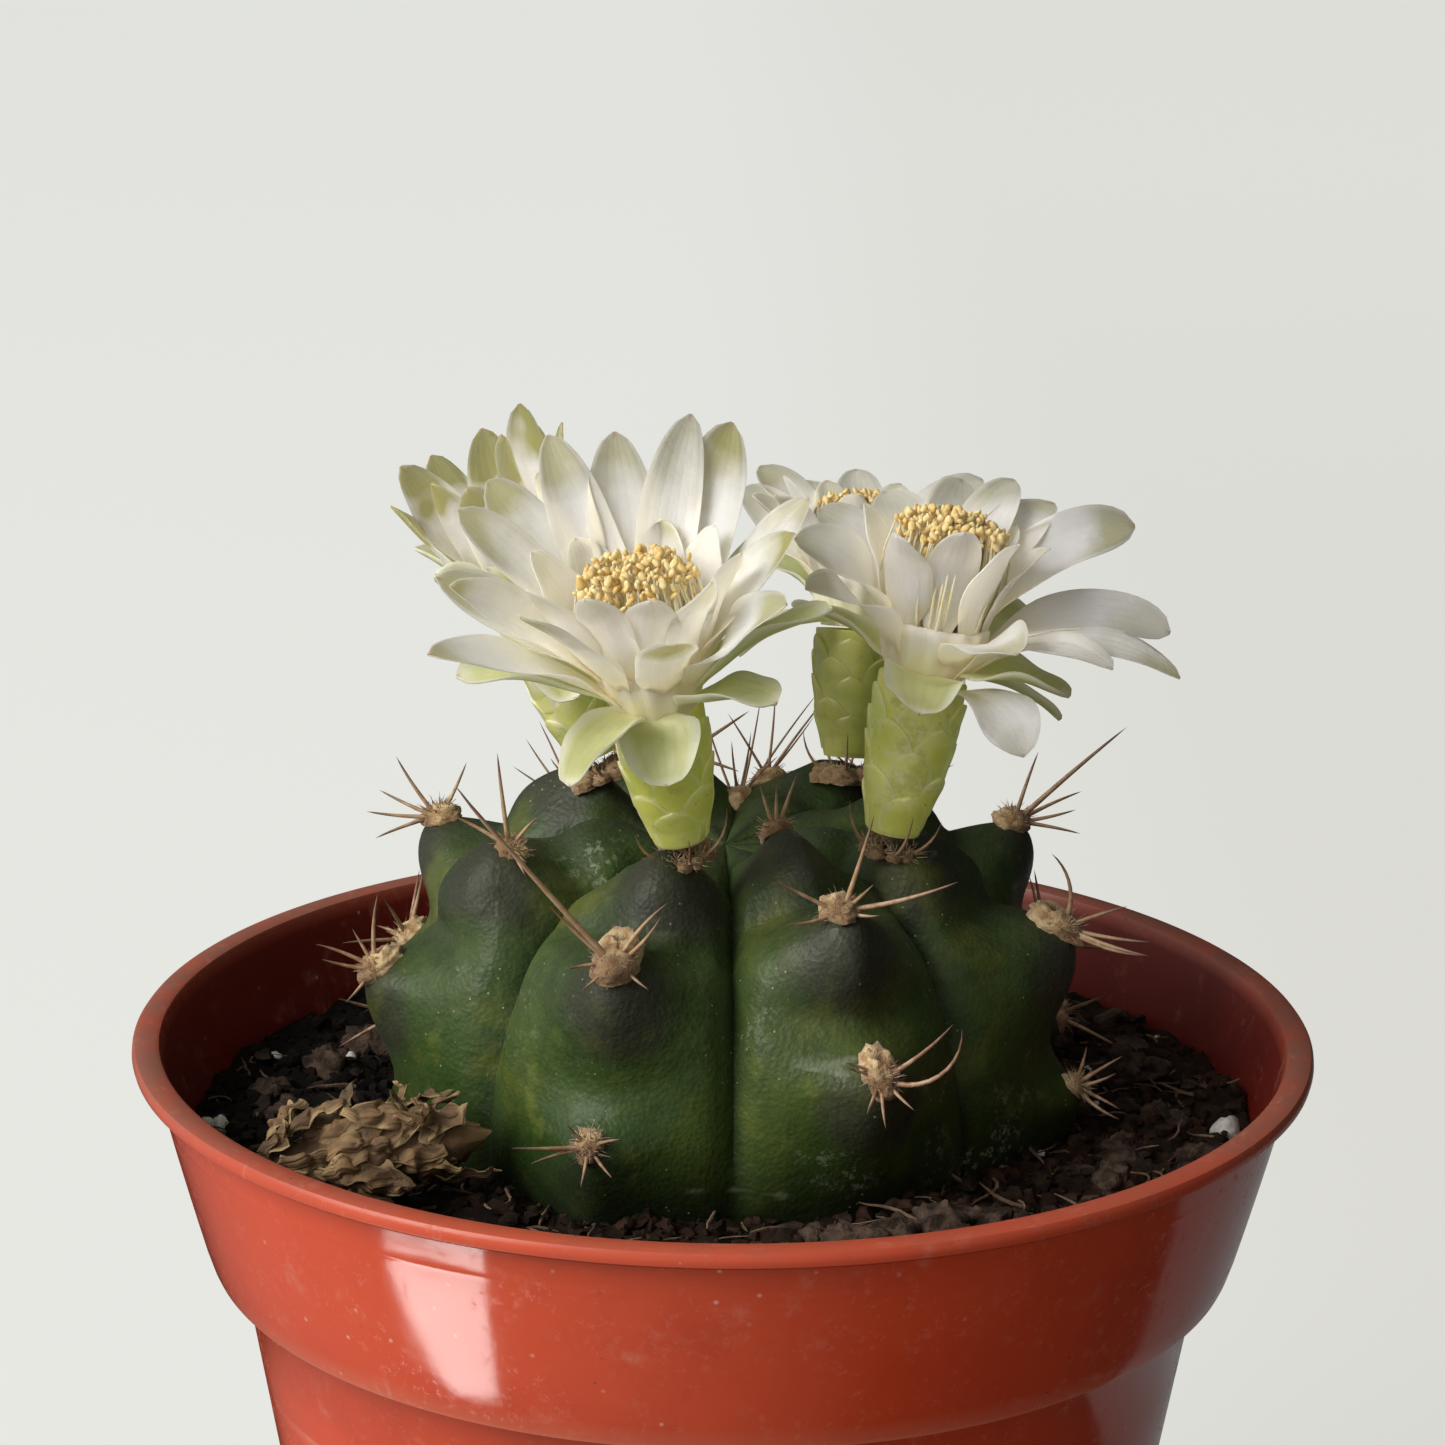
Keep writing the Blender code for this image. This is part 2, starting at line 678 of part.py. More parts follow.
def make_body():
    draw = random.Random(SPINE_SEED)
    core = body_core()
    pieces = [bloom_seat(bloom) for bloom in BLOOMS.values()]
    for rib, turn, arc, radius, spines in AREOLES.values():
        frame = surface_frame(RIB_AZIMUTHS[rib] + turn, arc)
        pieces += areole_pieces(frame, radius, [(seen_way(clock, lean), size) for clock, lean, size in spines])
    for rib, arc in PLAIN_AREOLES:
        frame = surface_frame(RIB_AZIMUTHS[rib], arc)
        start = draw.uniform(-PLAIN_TURN, PLAIN_TURN)
        spines = []
        for k in range(PLAIN_SPINES):
            clock = start + (k / (PLAIN_SPINES - 1) - 0.5) * PLAIN_FAN
            way = fanned_way(frame, clock, draw.uniform(*PLAIN_LIFT))
            spines.append((way, draw.uniform(*PLAIN_SPINE_LENGTH)))
        pieces += areole_pieces(frame, PLAIN_WOOL, spines)
    boolean(core, pieces, "UNION", "MANIFOLD")
    finish(core, material("cactus_skin", (0.045, 0.10, 0.04), 0.6))


def soil_height(place):
    """The soil's top: uneven, lower behind the plant and banked up at the front right."""
    tilt = SOIL_SLOPE_BACK * place.y + SOIL_SLOPE_RIGHT * place.x
    coarse = noise.noise(place * COARSE_GRAIN) * SOIL_RELIEF
    crumbs = noise.noise(place * FINE_GRAIN + Vector((7, 3, 0))) * SOIL_RELIEF * FINE_RELIEF_SHARE
    return SOIL_LEVEL + tilt + coarse + crumbs


def bowl_point(azimuth, arc):
    """A point of the hollow that the plant sits in, just clear of its ribs and chins."""
    point, normal = crest_at(arc)
    bulge = max(chins(azimuth + turn, arc + shift) for turn in BOWL_SEARCH_TURNS for shift in BOWL_SEARCH_SHIFTS)
    lift = BOWL_CLEARANCE + max(bulge, 0)
    return direction(azimuth) * max(point.x + normal.x * lift, 0) + Vector((0, 0, point.y + normal.y * lift))


def make_soil():
    def ring(radius, height):
        return circle(radius, height, SOIL_COLUMNS)

    step = POT_HEIGHT - BAND_HEIGHT
    floor = WALL + GAP
    rings = [[Vector((0, 0, floor))], ring(inner_wall_radius(floor) - GAP, floor)]
    rings.append(ring(inner_wall_radius(step) - GAP, step + WALL))
    rings.append(ring(inner_wall_radius(step + 2 * WALL) - GAP, step + 1.8 * WALL))
    wall = inner_wall_radius(SOIL_LEVEL) - GAP - 0.3
    for k in range(SOIL_RINGS):
        top = []
        for i in range(SOIL_COLUMNS):
            azimuth = 360 * i / SOIL_COLUMNS
            collar = max(bowl_point(azimuth, arc).to_2d().length for arc in COLLAR_ARCS) + COLLAR_GAP
            place = direction(azimuth) * (wall + (collar - wall) * k / (SOIL_RINGS - 1))
            top.append(place + Vector((0, 0, soil_height(place))))
        rings.append(top)
    for k in range(1, BOWL_RINGS):
        arc = SOIL_LINE_ARC + (CREST_LENGTH - SOIL_LINE_ARC) * k / BOWL_RINGS
        rings.append([bowl_point(360 * i / SOIL_COLUMNS, arc) for i in range(SOIL_COLUMNS)])
    rings.append([bowl_point(0, CREST_LENGTH)])
    soil = rings_object("soil", rings)
    finish(soil, material("soil_peat", (0.035, 0.02, 0.014), 0.95))


def tepal_half_width(share, width):
    """A tepal is narrow at its root, widest past its middle, and blunt at its tip."""
    return width / 2 * min(0.36 + 1.3 * share, 1, 0.40 + 3.6 * (1 - share))


def tepal(azimuth, lift, length, width, height, radius, bend, thickness=TEPAL_THICKNESS, stations=TEPAL_STATIONS):
    """A flat blade along an arc that starts steeper than its lift and ends flatter, by half the bend each."""
    out = direction(azimuth)
    side = Vector((0, 0, 1)).cross(out)
    centre = out * radius + Vector((0, 0, height))
    rings = []
    before = 0
    for share in (*stations, 1):
        middle = (before + share) / 2
        angle = math.radians(lift + bend * (0.5 - middle))
        centre = centre + (out * math.cos(angle) + Vector((0, 0, math.sin(angle)))) * length * (share - before)
        here = math.radians(lift + bend * (0.5 - share))
        upper = Vector((0, 0, math.cos(here))) - out * math.sin(here)
        half = side * tepal_half_width(share, width)
        thick = upper * thickness / 2
        rings.append([centre - half - thick, centre - half + thick, centre + half + thick, centre + half - thick])
        before = share
    return rings_object("tepal", rings)


def make_tube(name, bloom):
    """The floral tube, widening upwards, with rows of rounded scales that overlap."""
    size = bloom["scale"]
    steps = len(TUBE_RADII) - 1
    heights = [bloom["tube"] * k / steps for k in range(steps + 1)]
    tube = rings_object(name, [circle(r * size, z * size, TUBE_SIDES) for r, z in zip(TUBE_RADII, heights)])
    scales = []
    for row, (count, share, length) in enumerate(TUBE_SCALES):
        height = share * bloom["tube"]
        radius = float(np.interp(height, heights, TUBE_RADII))
        for i in range(count):
            azimuth = 360 * (i + 0.5 * row) / count
            scales.append(tube_scale(azimuth, height * size, radius * size, length * size, size))
    boolean(tube, scales, "UNION", "MANIFOLD")
    return tube


def tube_scale(azimuth, height, radius, length, size):
    """A rounded scale that hugs the tube, its foot sunk in it and its tip standing off a little."""
    root = radius - SCALE_SUNK
    width = SCALE_WIDTH * size
    return tepal(azimuth, SCALE_LIFT, length, width, height, root, SCALE_BEND, SCALE_THICKNESS, SCALE_STATIONS)


def make_perianth(name, bloom):
    """The throat, filled, with sepals below, a ring of long tepals and a ring of short ones over it."""
    size = bloom["scale"]
    foot = bloom["tube"] * size + GAP
    top = foot + THROAT_LENGTH * size
    wide = THROAT_RADIUS * size
    waist = foot + THROAT_WAIST * (top - foot)
    profile = ((THROAT_FOOT_RADIUS * size, foot), (THROAT_WAIST_RADIUS * size, waist), (wide, top))
    throat = rings_object(name, [circle(r, z, THROAT_SIDES) for r, z in profile])
    bend = bloom["bend"]
    blades = []
    for azimuth, lift, length, width in bloom["sepals"]:
        blades.append(tepal(azimuth, lift, length, width, foot + SEPAL_RISE * size, SEPAL_ROOT * size, SEPAL_BEND))
    for azimuth, lift, length in bloom["outer"]:
        rise = foot + (OUTER_RISE + TEPAL_STAGGER * (lift - 45)) * size
        blades.append(tepal(azimuth, lift, length, TEPAL_WIDTH * size, rise, OUTER_ROOT * size, bend))
    for azimuth, lift, length in bloom["inner"]:
        rise = top - INNER_DROP * size
        root = wide - INNER_INSET * size
        width = INNER_WIDTH * size
        inner_bend = bend * INNER_BEND_SHARE
        blades.append(tepal(azimuth, lift, length, width, rise, root, inner_bend, stations=INNER_STATIONS))
    boolean(throat, blades, "UNION", "MANIFOLD")
    return throat


def make_stamens(name, bloom):
    """A sheaf of filaments as a tapered core, with single stamens standing out of its top."""
    size = bloom["scale"]
    foot = (bloom["tube"] + THROAT_LENGTH) * size + 2 * GAP
    top = foot + bloom["sheaf_height"] * size
    wide = bloom["sheaf"] * size
    ends = ((SHEAF_FOOT_SHARE * wide, foot), (wide, top))
    sheaf = rings_object(name, [circle(r, z, SHEAF_SIDES) for r, z in ends])
    anthers = []
    count = bloom["stamens"]
    for k in range(count):
        reach = wide * math.sqrt((k + 0.5) / count)
        place = direction(GOLDEN_TURN * k) * reach
        crest = top + (STAMEN_TOP - STAMEN_DOME * reach + STAMEN_SCATTER * math.sin(5 * k)) * size
        rings = [
            [place * STAMEN_LEAN + p for p in circle(FILAMENT_RADIUS, top - 1.5, 3)],
            [place + p for p in circle(FILAMENT_RADIUS, crest - 0.7, 3)],
            [place + p for p in circle(ANTHER_RADIUS, crest, 5)[:3]],
            [place + Vector((0, 0, crest + ANTHER_TIP))],
        ]
        anthers.append(rings_object("anther", rings))
    boolean(sheaf, anthers, "UNION", "MANIFOLD")
    return sheaf


def make_blooms():
    green = material("tube_green", (0.36, 0.46, 0.10), 0.5)
    white = material("tepal_white", (0.82, 0.82, 0.72), 0.5)
    yellow = material("anther_yellow", (0.80, 0.58, 0.18), 0.7)
    for name, bloom in BLOOMS.items():
        place = bloom_matrix(bloom)
        for made, colour in (
            (make_tube(f"bloom_{name}_tube", bloom), green),
            (make_perianth(f"bloom_{name}_tepals", bloom), white),
            (make_stamens(f"bloom_{name}_stamens", bloom), yellow),
        ):
            finish(made, colour)
            made.matrix_world = Matrix.Translation(place.translation * MM) @ place.to_3x3().to_4x4()


def make_dried_bloom():
    """A fallen bloom, withered to a long papery twist: tepals overlap all along a crumpled tube."""
    draw = random.Random(DRIED_SEED)
    core = rings_object("dried_bloom", [circle(r, z, DRIED_SIDES) for r, z in DRIED_PROFILE])
    blades = []
    for k in range(DRIED_TEPALS):
        height = DRIED_FIRST_HEIGHT + (DRIED_LAST_HEIGHT - DRIED_FIRST_HEIGHT) * k / (DRIED_TEPALS - 1)
        lift = draw.uniform(*DRIED_LIFTS)
        length = draw.uniform(*DRIED_LENGTHS)
        width = draw.uniform(*DRIED_WIDTHS)
        bend = draw.uniform(*DRIED_BENDS)
        root = DRIED_ROOT_RADIUS
        blades.append(tepal(GOLDEN_TURN * k, lift, length, width, height, root, bend, DRIED_THICKNESS))
    boolean(core, blades, "UNION", "MANIFOLD")
    along = direction(DRIED_AZIMUTH) + Vector((0, 0, DRIED_SLOPE))
    turn = Vector((0, 0, 1)).rotation_difference(along)
    core.data.transform(turn.to_matrix().to_4x4())
    core.data.transform(Matrix.Translation((*DRIED_CENTRE, 0)))
    sunk = max(soil_height(v.co * Vector((1, 1, 0))) - v.co.z for v in core.data.vertices)
    core.data.transform(Matrix.Translation((0, 0, sunk + DRIED_GAP)))
    finish(core, material("dried_bloom", (0.40, 0.27, 0.15), 0.85))


def main():
    for obj in list(bpy.data.objects):
        bpy.data.objects.remove(obj)
    make_pot()
    make_soil()
    make_body()
    make_blooms()
    make_dried_bloom()


main()
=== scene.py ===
import math
import random

import bpy
import numpy as np
from mathutils import Matrix, Vector, noise


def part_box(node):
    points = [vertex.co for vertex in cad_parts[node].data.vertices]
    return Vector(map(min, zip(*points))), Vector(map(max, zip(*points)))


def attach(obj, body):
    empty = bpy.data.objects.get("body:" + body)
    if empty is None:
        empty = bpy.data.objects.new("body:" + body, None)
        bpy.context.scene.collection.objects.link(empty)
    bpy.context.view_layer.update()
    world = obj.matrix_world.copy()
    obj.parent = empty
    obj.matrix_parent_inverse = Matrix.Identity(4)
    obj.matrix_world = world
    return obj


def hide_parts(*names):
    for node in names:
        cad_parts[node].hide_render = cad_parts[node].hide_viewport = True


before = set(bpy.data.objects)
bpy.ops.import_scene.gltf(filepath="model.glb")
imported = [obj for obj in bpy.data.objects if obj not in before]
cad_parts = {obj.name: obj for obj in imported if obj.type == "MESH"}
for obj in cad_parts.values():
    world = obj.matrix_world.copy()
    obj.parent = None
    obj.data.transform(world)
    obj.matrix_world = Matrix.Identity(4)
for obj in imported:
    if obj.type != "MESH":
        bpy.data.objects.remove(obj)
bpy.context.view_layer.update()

# Lengths are millimetres, and each mesh is scaled to metres once it is made. Azimuths are degrees round +Z,
# from 0 at the front (-Y), and grow towards +X.
MM = 0.001
GAP = 0.35
UP = np.array([0, 0, 1.0])

# Camera: its distance from the point it looks at, that point, its height angle, its roll and its focal length
CAMERA_DISTANCE = 380.0
CAMERA_TARGET = (-0.42, 0.0, 127.56)
CAMERA_ELEVATION = 15.37
CAMERA_ROLL = 0.65
CAMERA_LENS = 94.65
SENSOR_WIDTH = 36.0

# Room: the way it is brightest, and its least and greatest brightness
ROOM_BRIGHT_WAY = (-0.82, -0.50, 0.20)
ROOM_DIM = 0.03
ROOM_BRIGHT = 0.80
WINDOW_PLACE = (-0.98, -0.55, 0.88)
WINDOW_TARGET = (0, 0, 0.12)
WINDOW_SIZE = 0.8
WINDOW_POWER = 18.5

# Bright patches of the table, corners as (x, y), that the pot's band mirrors at the left and at the right
LEFT_GLARE = ((-126, -60), (-93, -100), (-71.5, -77), (-84, -64))
RIGHT_GLARE = ((60, 1), (300, 48), (300, 500), (0, 500))
LEFT_GLARE_STRENGTH = 10.0
RIGHT_GLARE_STRENGTH = 0.22
FLOOR_SIDES = 64

# Pot, as in the solid
POT_HEIGHT = 96.0
RIM_RADIUS = 60.0
LIP_INNER_RADIUS = 57.2
LIP_DROP = 1.8
BAND_TOP_RADIUS = 58.0
BAND_FOOT_RADIUS = 52.7
BAND_HEIGHT = 22.5
WALL_TOP_RADIUS = 49.6
BASE_RADIUS = 37.5
WALL = 1.3
BAND_LINE = 0.82
BAND_LINE_HEIGHT = 0.014
SOLID_POT_SIDES = 42
POT_SIDES = 252
POT_SHRINK = 0.9996
DRAIN_HOLES = 6
DRAIN_RADIUS = 3.5
DRAIN_CIRCLE = 24.0
DRAIN_START = 13.0
DRILL_HEIGHTS = (-2, 4)
DRILL_SIDES = 32
# Painted highlight ring above the band's lower edge: its height over the step and its width
EDGE_HIGHLIGHT_ABOVE_STEP = 0.3
EDGE_HIGHLIGHT_WIDTH = 0.45

# Soil, as in the solid
SOIL_LEVEL = 86.2
SOIL_RELIEF = 1.5
SOIL_COLUMNS = 300
SOIL_ROWS = 66
SOIL_INNER = 25.0
SOIL_OUTER = 53.5
CRUMBS = 4200
BARK_CHIPS = 80
ROOT_FIBRES = 420
CRUMB_INNER = 30.0
BARK_INNER = 33.0
GRAIN_INNER = 34.0
SOIL_SEED = 8
# Clods in front of the plant and pale grains: x, y and size
CLODS = (
    (9, -37.5, 2.2), (12.5, -38.5, 3.0), (17, -37, 3.0), (20.5, -36, 3.2), (24.5, -35, 3.0),
    (22, -40.5, 2.6), (29, -33, 2.4), (40, -14, 2.6), (45, -4, 2.2), (43, 10, 2.8), (38, -24, 2.2),
    (-42, 13, 3.4), (-47, 5, 2.6), (-38, 19, 2.8), (-44, -4, 2.4), (-35, 25, 2.2), (47, -16, 2.4),
    (36, 20, 2.6),
)
GRAINS = (
    (-48, 16, 0.9), (-50.5, -7.4, 1.4), (51, -6.2, 1.6), (38.5, -2.5, 0.8), (5.3, -49.5, 0.7),
    (-30, -43, 0.5),
)
LOOSE_GRAINS = 22

# Plant body, as in the solid
BODY_RADIUS = 33.4
BODY_WAIST_HEIGHT = 94.0
BODY_TOP = 119.4
BODY_BURIED = 24.0
SHOULDER_POWER = 3.4
BOWL_POWER = 2.3
CROWN_DIP = 4.5
CROWN_DIP_RADIUS = 9.0
RIB_AZIMUTHS = (-74.0, -20.0, 24.0, 74.0, 112.0, 150.0, 200.0, 246.0)
FURROW_ARCS = (0, 8, 18, 28, 38, 48, 58, 75)
FURROW_DEPTHS = (0, 1.6, 4.8, 7.0, 5.8, 3.2, 1.6, 1.0)
KEEL_ARCS = (30, 48)
KEEL_POWERS = (1.35, 2.1)
CHIN_HEIGHT = 2.6
CHIN_WIDTH = 6.0
CHIN_RISE = 3.0
CHIN_FALL = 7.0
CHIN_BELOW_AREOLE = 1.4
CHIN_SHADE_WIDTH = 6.0
CHIN_SHADE_BELOW = 3.6
CHIN_SHADE_LENGTH = 5.4
CHIN_SHADE_LAST_ARC = 45.0
NOSE_HEIGHT = 1.2
NOSE_WIDTH = 3.0
LEDGE_DEPTH = 2.2
LEDGE_WIDTH = 9.0
LEDGE_ABOVE_AREOLE = 5.5
LEDGE_LENGTH = 3.0
LEDGE_LAST_ARC = 54.0
LEDGE_FADE = 14.0
COLUMNS_PER_RIB = 44
BODY_ROW_STEP = 0.5
BODY_FINE_ARC = 68
BODY_COARSE_STEP = 3

# Wool, hairs and spines
WOOL_ROWS = 14
WOOL_COLUMNS = 22
SCAR_ABOVE = 0.55
HAIR_RADII = (0.055, 0.045, 0.012)
AREOLE_HAIRS = 110
TUFT_HAIRS = 60
PLAIN_HAIRS = 50
SEAT_HAIRS = 22
SPINE_STEPS = 11
SPINE_SIDES = 9
SEAT_SPINE_RADII = (1.2, 1.15, 1.05, 0.9, 0.75, 0.5, 0.15)
LOW_ARC = 42

# Areoles: rib, turn from its crest, distance from the crown, wool radius, whether it has a bloom's scar,
# and its spines: each one's clock angle seen from the front, its lean to the viewer, its length and how far
# it curls
VIEW_TILT = 15.0
AREOLES = {
    "left_shoulder": (0, 13, 24.5, 1.4, False,
        ((-8, 20, 9.5, 3), (-45, 15, 7.5, 10), (-54, 10, 6, -14), (30, 20, 4, 20), (150, 40, 3, 0))),
    "left_middle": (0, 0, 41.0, 1.4, True,
        ((-8, 20, 7.5, 22), (-56, 20, 6, -20), (-84, 25, 5, 14), (-150, 30, 4, 16), (-30, 10, 4, 0))),
    "left_low": (0, 0, 56.5, 1.2, False,
        ((-61, 25, 6, 14), (20, 40, 4, 20), (-140, 30, 4, 10), (-80, 10, 4, 0))),
    "front_left_middle": (1, 2, 33.5, 1.9, True,
        ((-42, 25, 23, 3), (-51, 25, 8, 10), (-90, 30, 4, -12), (-135, 30, 3.5, 8), (131, 30, 3.5, -8),
         (28, 30, 8, 22), (54, 30, 6.5, -26))),
    "front_left_low": (1, 0, 49.5, 1.4, False,
        ((-91, 25, 7, 6), (-45, 35, 3, 10), (66, 35, 3, 12), (-174, 35, 3.5, 8), (143, 35, 3.5, -10),
         (-100, 20, 5, -10))),
    "front_right_top": (2, 0, 13.0, 1.6, False, ((-23, 10, 4.5, 8), (-3, 20, 4.5, 4), (15, 10, 5.5, 6))),
    "front_right_middle": (2, -2, 29.0, 1.5, True,
        ((18, 25, 10, -4), (-67, 20, 6.5, 8), (48, 35, 4, -6), (82, 20, 11, -16), (112, 35, 3.5, -34),
         (-118, 25, 5, 30))),
    "front_right_low": (2, 0, 43.0, 1.5, True,
        ((-56, 30, 3.5, -20), (-72, 30, 3, 0), (60, 25, 8.5, -22), (112, 25, 11, -120), (136, 35, 4, -8),
         (-178, 35, 4.5, -12), (-155, 35, 3.4, 0))),
    "right_middle": (3, 0, 36.5, 1.6, True,
        ((28, 20, 8, -78), (66, 10, 6, 8), (104, 15, 8, -12), (114, 25, 8.5, -14), (123, 25, 8, -30))),
    "right_low": (3, 0, 52.0, 1.2, False,
        ((23, 20, 4, -16), (52, 20, 5.5, 6), (80, 15, 4, -22), (140, 20, 5, -30), (110, 20, 4.5, 10))),
    "back_right_shoulder": (4, 0, 32.5, 1.8, False,
        ((46, 10, 14.5, 4), (16, 0, 7, 5), (83, 10, 5.5, -12), (96, 15, 6, 8), (60, -10, 7, 10))),
    "left_back_shoulder": (7, 0, 33.0, 1.8, False,
        ((-40, 10, 7, 12), (29, 5, 5.5, -8), (-92, 10, 6.5, 12), (-106, 15, 6, -10), (-70, -10, 6, 8))),
}
# Withered tufts on the crown: azimuth, distance from the crown, wool radius and long spines, as above
CROWN_TUFTS = (
    (178, 27.0, 2.2,
        ((30, 0, 15, 8), (44, -5, 13, -10), (58, 5, 11, 14), (14, 0, 12, -6), (-24, 5, 11, 8),
        (70, 5, 9, 4))),
    (175, 14.5, 2.1, ((-12, 10, 6, 8), (14, 10, 7, -8), (38, 10, 6, 10))),
    (166, 20.0, 1.9, ((8, 0, 9, -6), (33, 0, 11, 6), (-30, 5, 8, -4))),
    (152, 28.0, 2.2, ((20, 0, 10, 8), (40, 0, 8, 10))),
    (216, 30.0, 1.9, ((-20, 0, 10, -8), (-42, 0, 9, 10), (12, 0, 9, 4), (-60, 0, 8, 4))),
    (206, 18.0, 1.8, ((-10, 5, 7, 6), (25, 5, 8, -8))),
)
TUFT_SPINE_RADIUS = 0.15
SEAT_LUMPS = 8
SEAT_REACH = 2.1
SEAT_SPINES = 5
# The other areoles sit on the ribs that the front view hides
PLAIN_AREOLES = (
    (4, 45.0), (4, 53.0), (5, 35.0), (5, 47.0), (5, 54.0), (6, 14.0), (6, 30.0), (6, 43.0), (6, 54.0),
    (7, 46.0), (7, 54.0),
)
PLAIN_SPINES = 5
PLAIN_FAN = 230.0
PLAIN_TURN = 20.0
PLAIN_LIFT = (25.0, 38.0)
PLAIN_SPINE_LENGTH = (6.0, 10.0)
PLAIN_WOOL = 1.8
SPINE_RADIUS = 0.22
SPINE_SEED = 4

# Blooms, as in the solids: azimuth, lift and length of each tepal, with the width too of each sepal
SEAT_HEIGHT = 1.6
TUBE_RADII = (2.7, 3.9, 4.4, 4.5)
THROAT_LENGTH = 5.8
THROAT_RADIUS = 5.8
TEPAL_WIDTH = 6.0
INNER_WIDTH = 5.4
TEPAL_ROWS = 22
TEPAL_COLUMNS = 13
TEPAL_STAGGER = 0.05
TEPAL_TURN = 34.0
THROAT_FOOT_RADIUS = 4.0
THROAT_WAIST_RADIUS = 4.7
SEPAL_BEND = 50.0
SEPAL_RISE = 1.0
SEPAL_ROOT = 3.0
OUTER_RISE = 2.4
OUTER_ROOT = 3.8
INNER_DROP = 1.6
INNER_INSET = 1.1
BLOOMS = {
    "front": {
        "at": (1, 8, 19.5),
        "lean": (-9.5, -9.0),
        "scale": 1.0,
        "tube": 13.4,
        "bend": 26.0,
        "outer": (
            (55, 40, 18), (84, 50, 18), (106, 44, 20), (140, 50, 24), (163, 58, 24), (-172, 56, 23),
            (-150, 56, 24), (-130, 48, 23), (-112, 54, 22), (-90, 42, 20), (-74, 48, 20), (-60, 34, 22),
            (-36, 48, 17), (14, 44, 13),
        ),
        "inner": (
            (40, 62, 12), (12, 68, 11), (-22, 68, 12), (74, 62, 13), (125, 64, 12), (165, 66, 12),
            (-150, 64, 12), (-105, 66, 13), (-60, 62, 13),
        ),
        "sepals": (
            (2, -42, 8, 7.4), (54, 8, 12, 7.4), (-38, -12, 12, 7.2), (-78, 24, 17, 6), (80, 26, 17, 6),
            (118, 40, 19, 5.4), (-170, 34, 17, 5), (-118, 40, 19, 5),
        ),
        "stamens": 190,
        "sheaf": 5.6,
        "sheaf_height": 6.0,
        "olive": 0.8,
        "dull": 0.0,
        "wool": 0.8,
    },
    "right": {
        "at": (3, -18, 20.0),
        "lean": (9.5, 0.0),
        "scale": 1.0,
        "tube": 15.5,
        "bend": 76.0,
        "outer": (
            (-58, 30, 15), (-88, 42, 16), (28, 26, 13), (52, 18, 18), (70, 14, 23), (92, 22, 22),
            (112, 42, 23), (135, 54, 19), (152, 60, 19), (176, 58, 18), (-150, 56, 16), (-118, 46, 16),
            (40, -12, 13),
        ),
        "inner": (
            (-42, 66, 12), (0, 74, 13), (40, 68, 13), (85, 66, 12), (130, 68, 12), (175, 70, 12),
            (-110, 68, 12),
        ),
        "sepals": (
            (-5, -12, 9, 7.6), (66, 4, 12, 7.2), (95, -16, 12, 4.6), (140, 20, 14, 5), (-165, 24, 14, 5),
            (-105, 14, 12, 5),
        ),
        "stamens": 190,
        "sheaf": 5.2,
        "sheaf_height": 7.4,
        "olive": 0.5,
        "dull": 0.15,
        "wool": 0.8,
    },
    "left_back": {
        "at": (7, 0, 14.5),
        "lean": (-22.0, 4.0),
        "scale": 0.86,
        "tube": 14.2,
        "bend": 12.0,
        "outer": (
            (0, 72, 16), (38, 78, 19), (75, 70, 19), (112, 77, 20), (148, 70, 19), (-175, 77, 19),
            (-138, 70, 19), (-102, 77, 19), (-68, 66, 17), (-33, 76, 17),
        ),
        "inner": ((20, 84, 12), (92, 84, 13), (164, 84, 13), (-124, 84, 13), (-52, 84, 12)),
        "sepals": (
            (12, -30, 11, 8), (-48, 58, 13, 6), (-95, 64, 15, 6), (160, 64, 15, 5.4), (90, 60, 15, 5.4),
        ),
        "stamens": 50,
        "sheaf": 3.2,
        "sheaf_height": 7.0,
        "olive": 1.7,
        "dull": 0.2,
        "wool": 1.2,
    },
    "right_back": {
        "at": (5, -13, 19.0),
        "lean": (3.0, 12.0),
        "scale": 0.95,
        "tube": 13.9,
        "bend": 48.0,
        "outer": (
            (-76, 52, 14), (-104, 46, 15), (-128, 56, 17), (-155, 46, 18), (178, 52, 18), (150, 45, 18),
            (122, 52, 18), (95, 44, 17), (-46, 50, 14),
        ),
        "inner": ((-95, 70, 12), (-155, 68, 12), (150, 70, 12), (90, 70, 12), (-20, 80, 10), (35, 80, 10)),
        "sepals": ((-58, -20, 13, 5), (-135, 26, 14, 5), (170, 26, 14, 5), (115, 26, 14, 5)),
        "stamens": 120,
        "sheaf": 4.8,
        "sheaf_height": 5.8,
        "olive": 0.6,
        "dull": 0.85,
        "wool": 1.4,
    },
}
# The throat's section: radius, share of its height, and how far along a tepal its colour is
THROAT_PROFILE = (
    (THROAT_FOOT_RADIUS, 0, 0.02), (THROAT_FOOT_RADIUS + 0.1, 0.12, 0.05), (THROAT_WAIST_RADIUS, 0.3, 0.1),
    (5.1, 0.55, 0.18), (5.5, 0.8, 0.25), (5.55, 0.97, 0.3), (5.2, 1.0, 0.3), (4.5, 0.8, 0.2),
    (3.0, 0.4, 0.1), (0.4, 0.32, 0.05),
)
THROAT_SIDES = 84
THROAT_FLUTES = 7
STAMEN_FACTOR = 1.35
STAMEN_TURN = 137.508
TUBE_ROWS = 26
TUBE_SIDES = 40
SCALE_WIDTH = 4.2
TUBE_SCALES = ((3, 0.03, 4.2), (4, 0.16, 4.4), (4, 0.32, 4.6), (5, 0.48, 4.6), (5, 0.64, 4.4))

# Fallen bloom
DRIED_CENTRE = (-33.6, -29.2)
DRIED_AZIMUTH = 101.0
DRIED_SLOPE = 0.10
DRIED_BLADES = 42
DRIED_SIDES = 26
DRIED_SINK = 0.3
DRIED_TURN = 137.5
DRIED_SEED = 11
DRIED_PROFILE = ((1.4, -11), (2.6, -7), (3.0, -2), (3.3, 3), (2.6, 8), (1.3, 10.5))


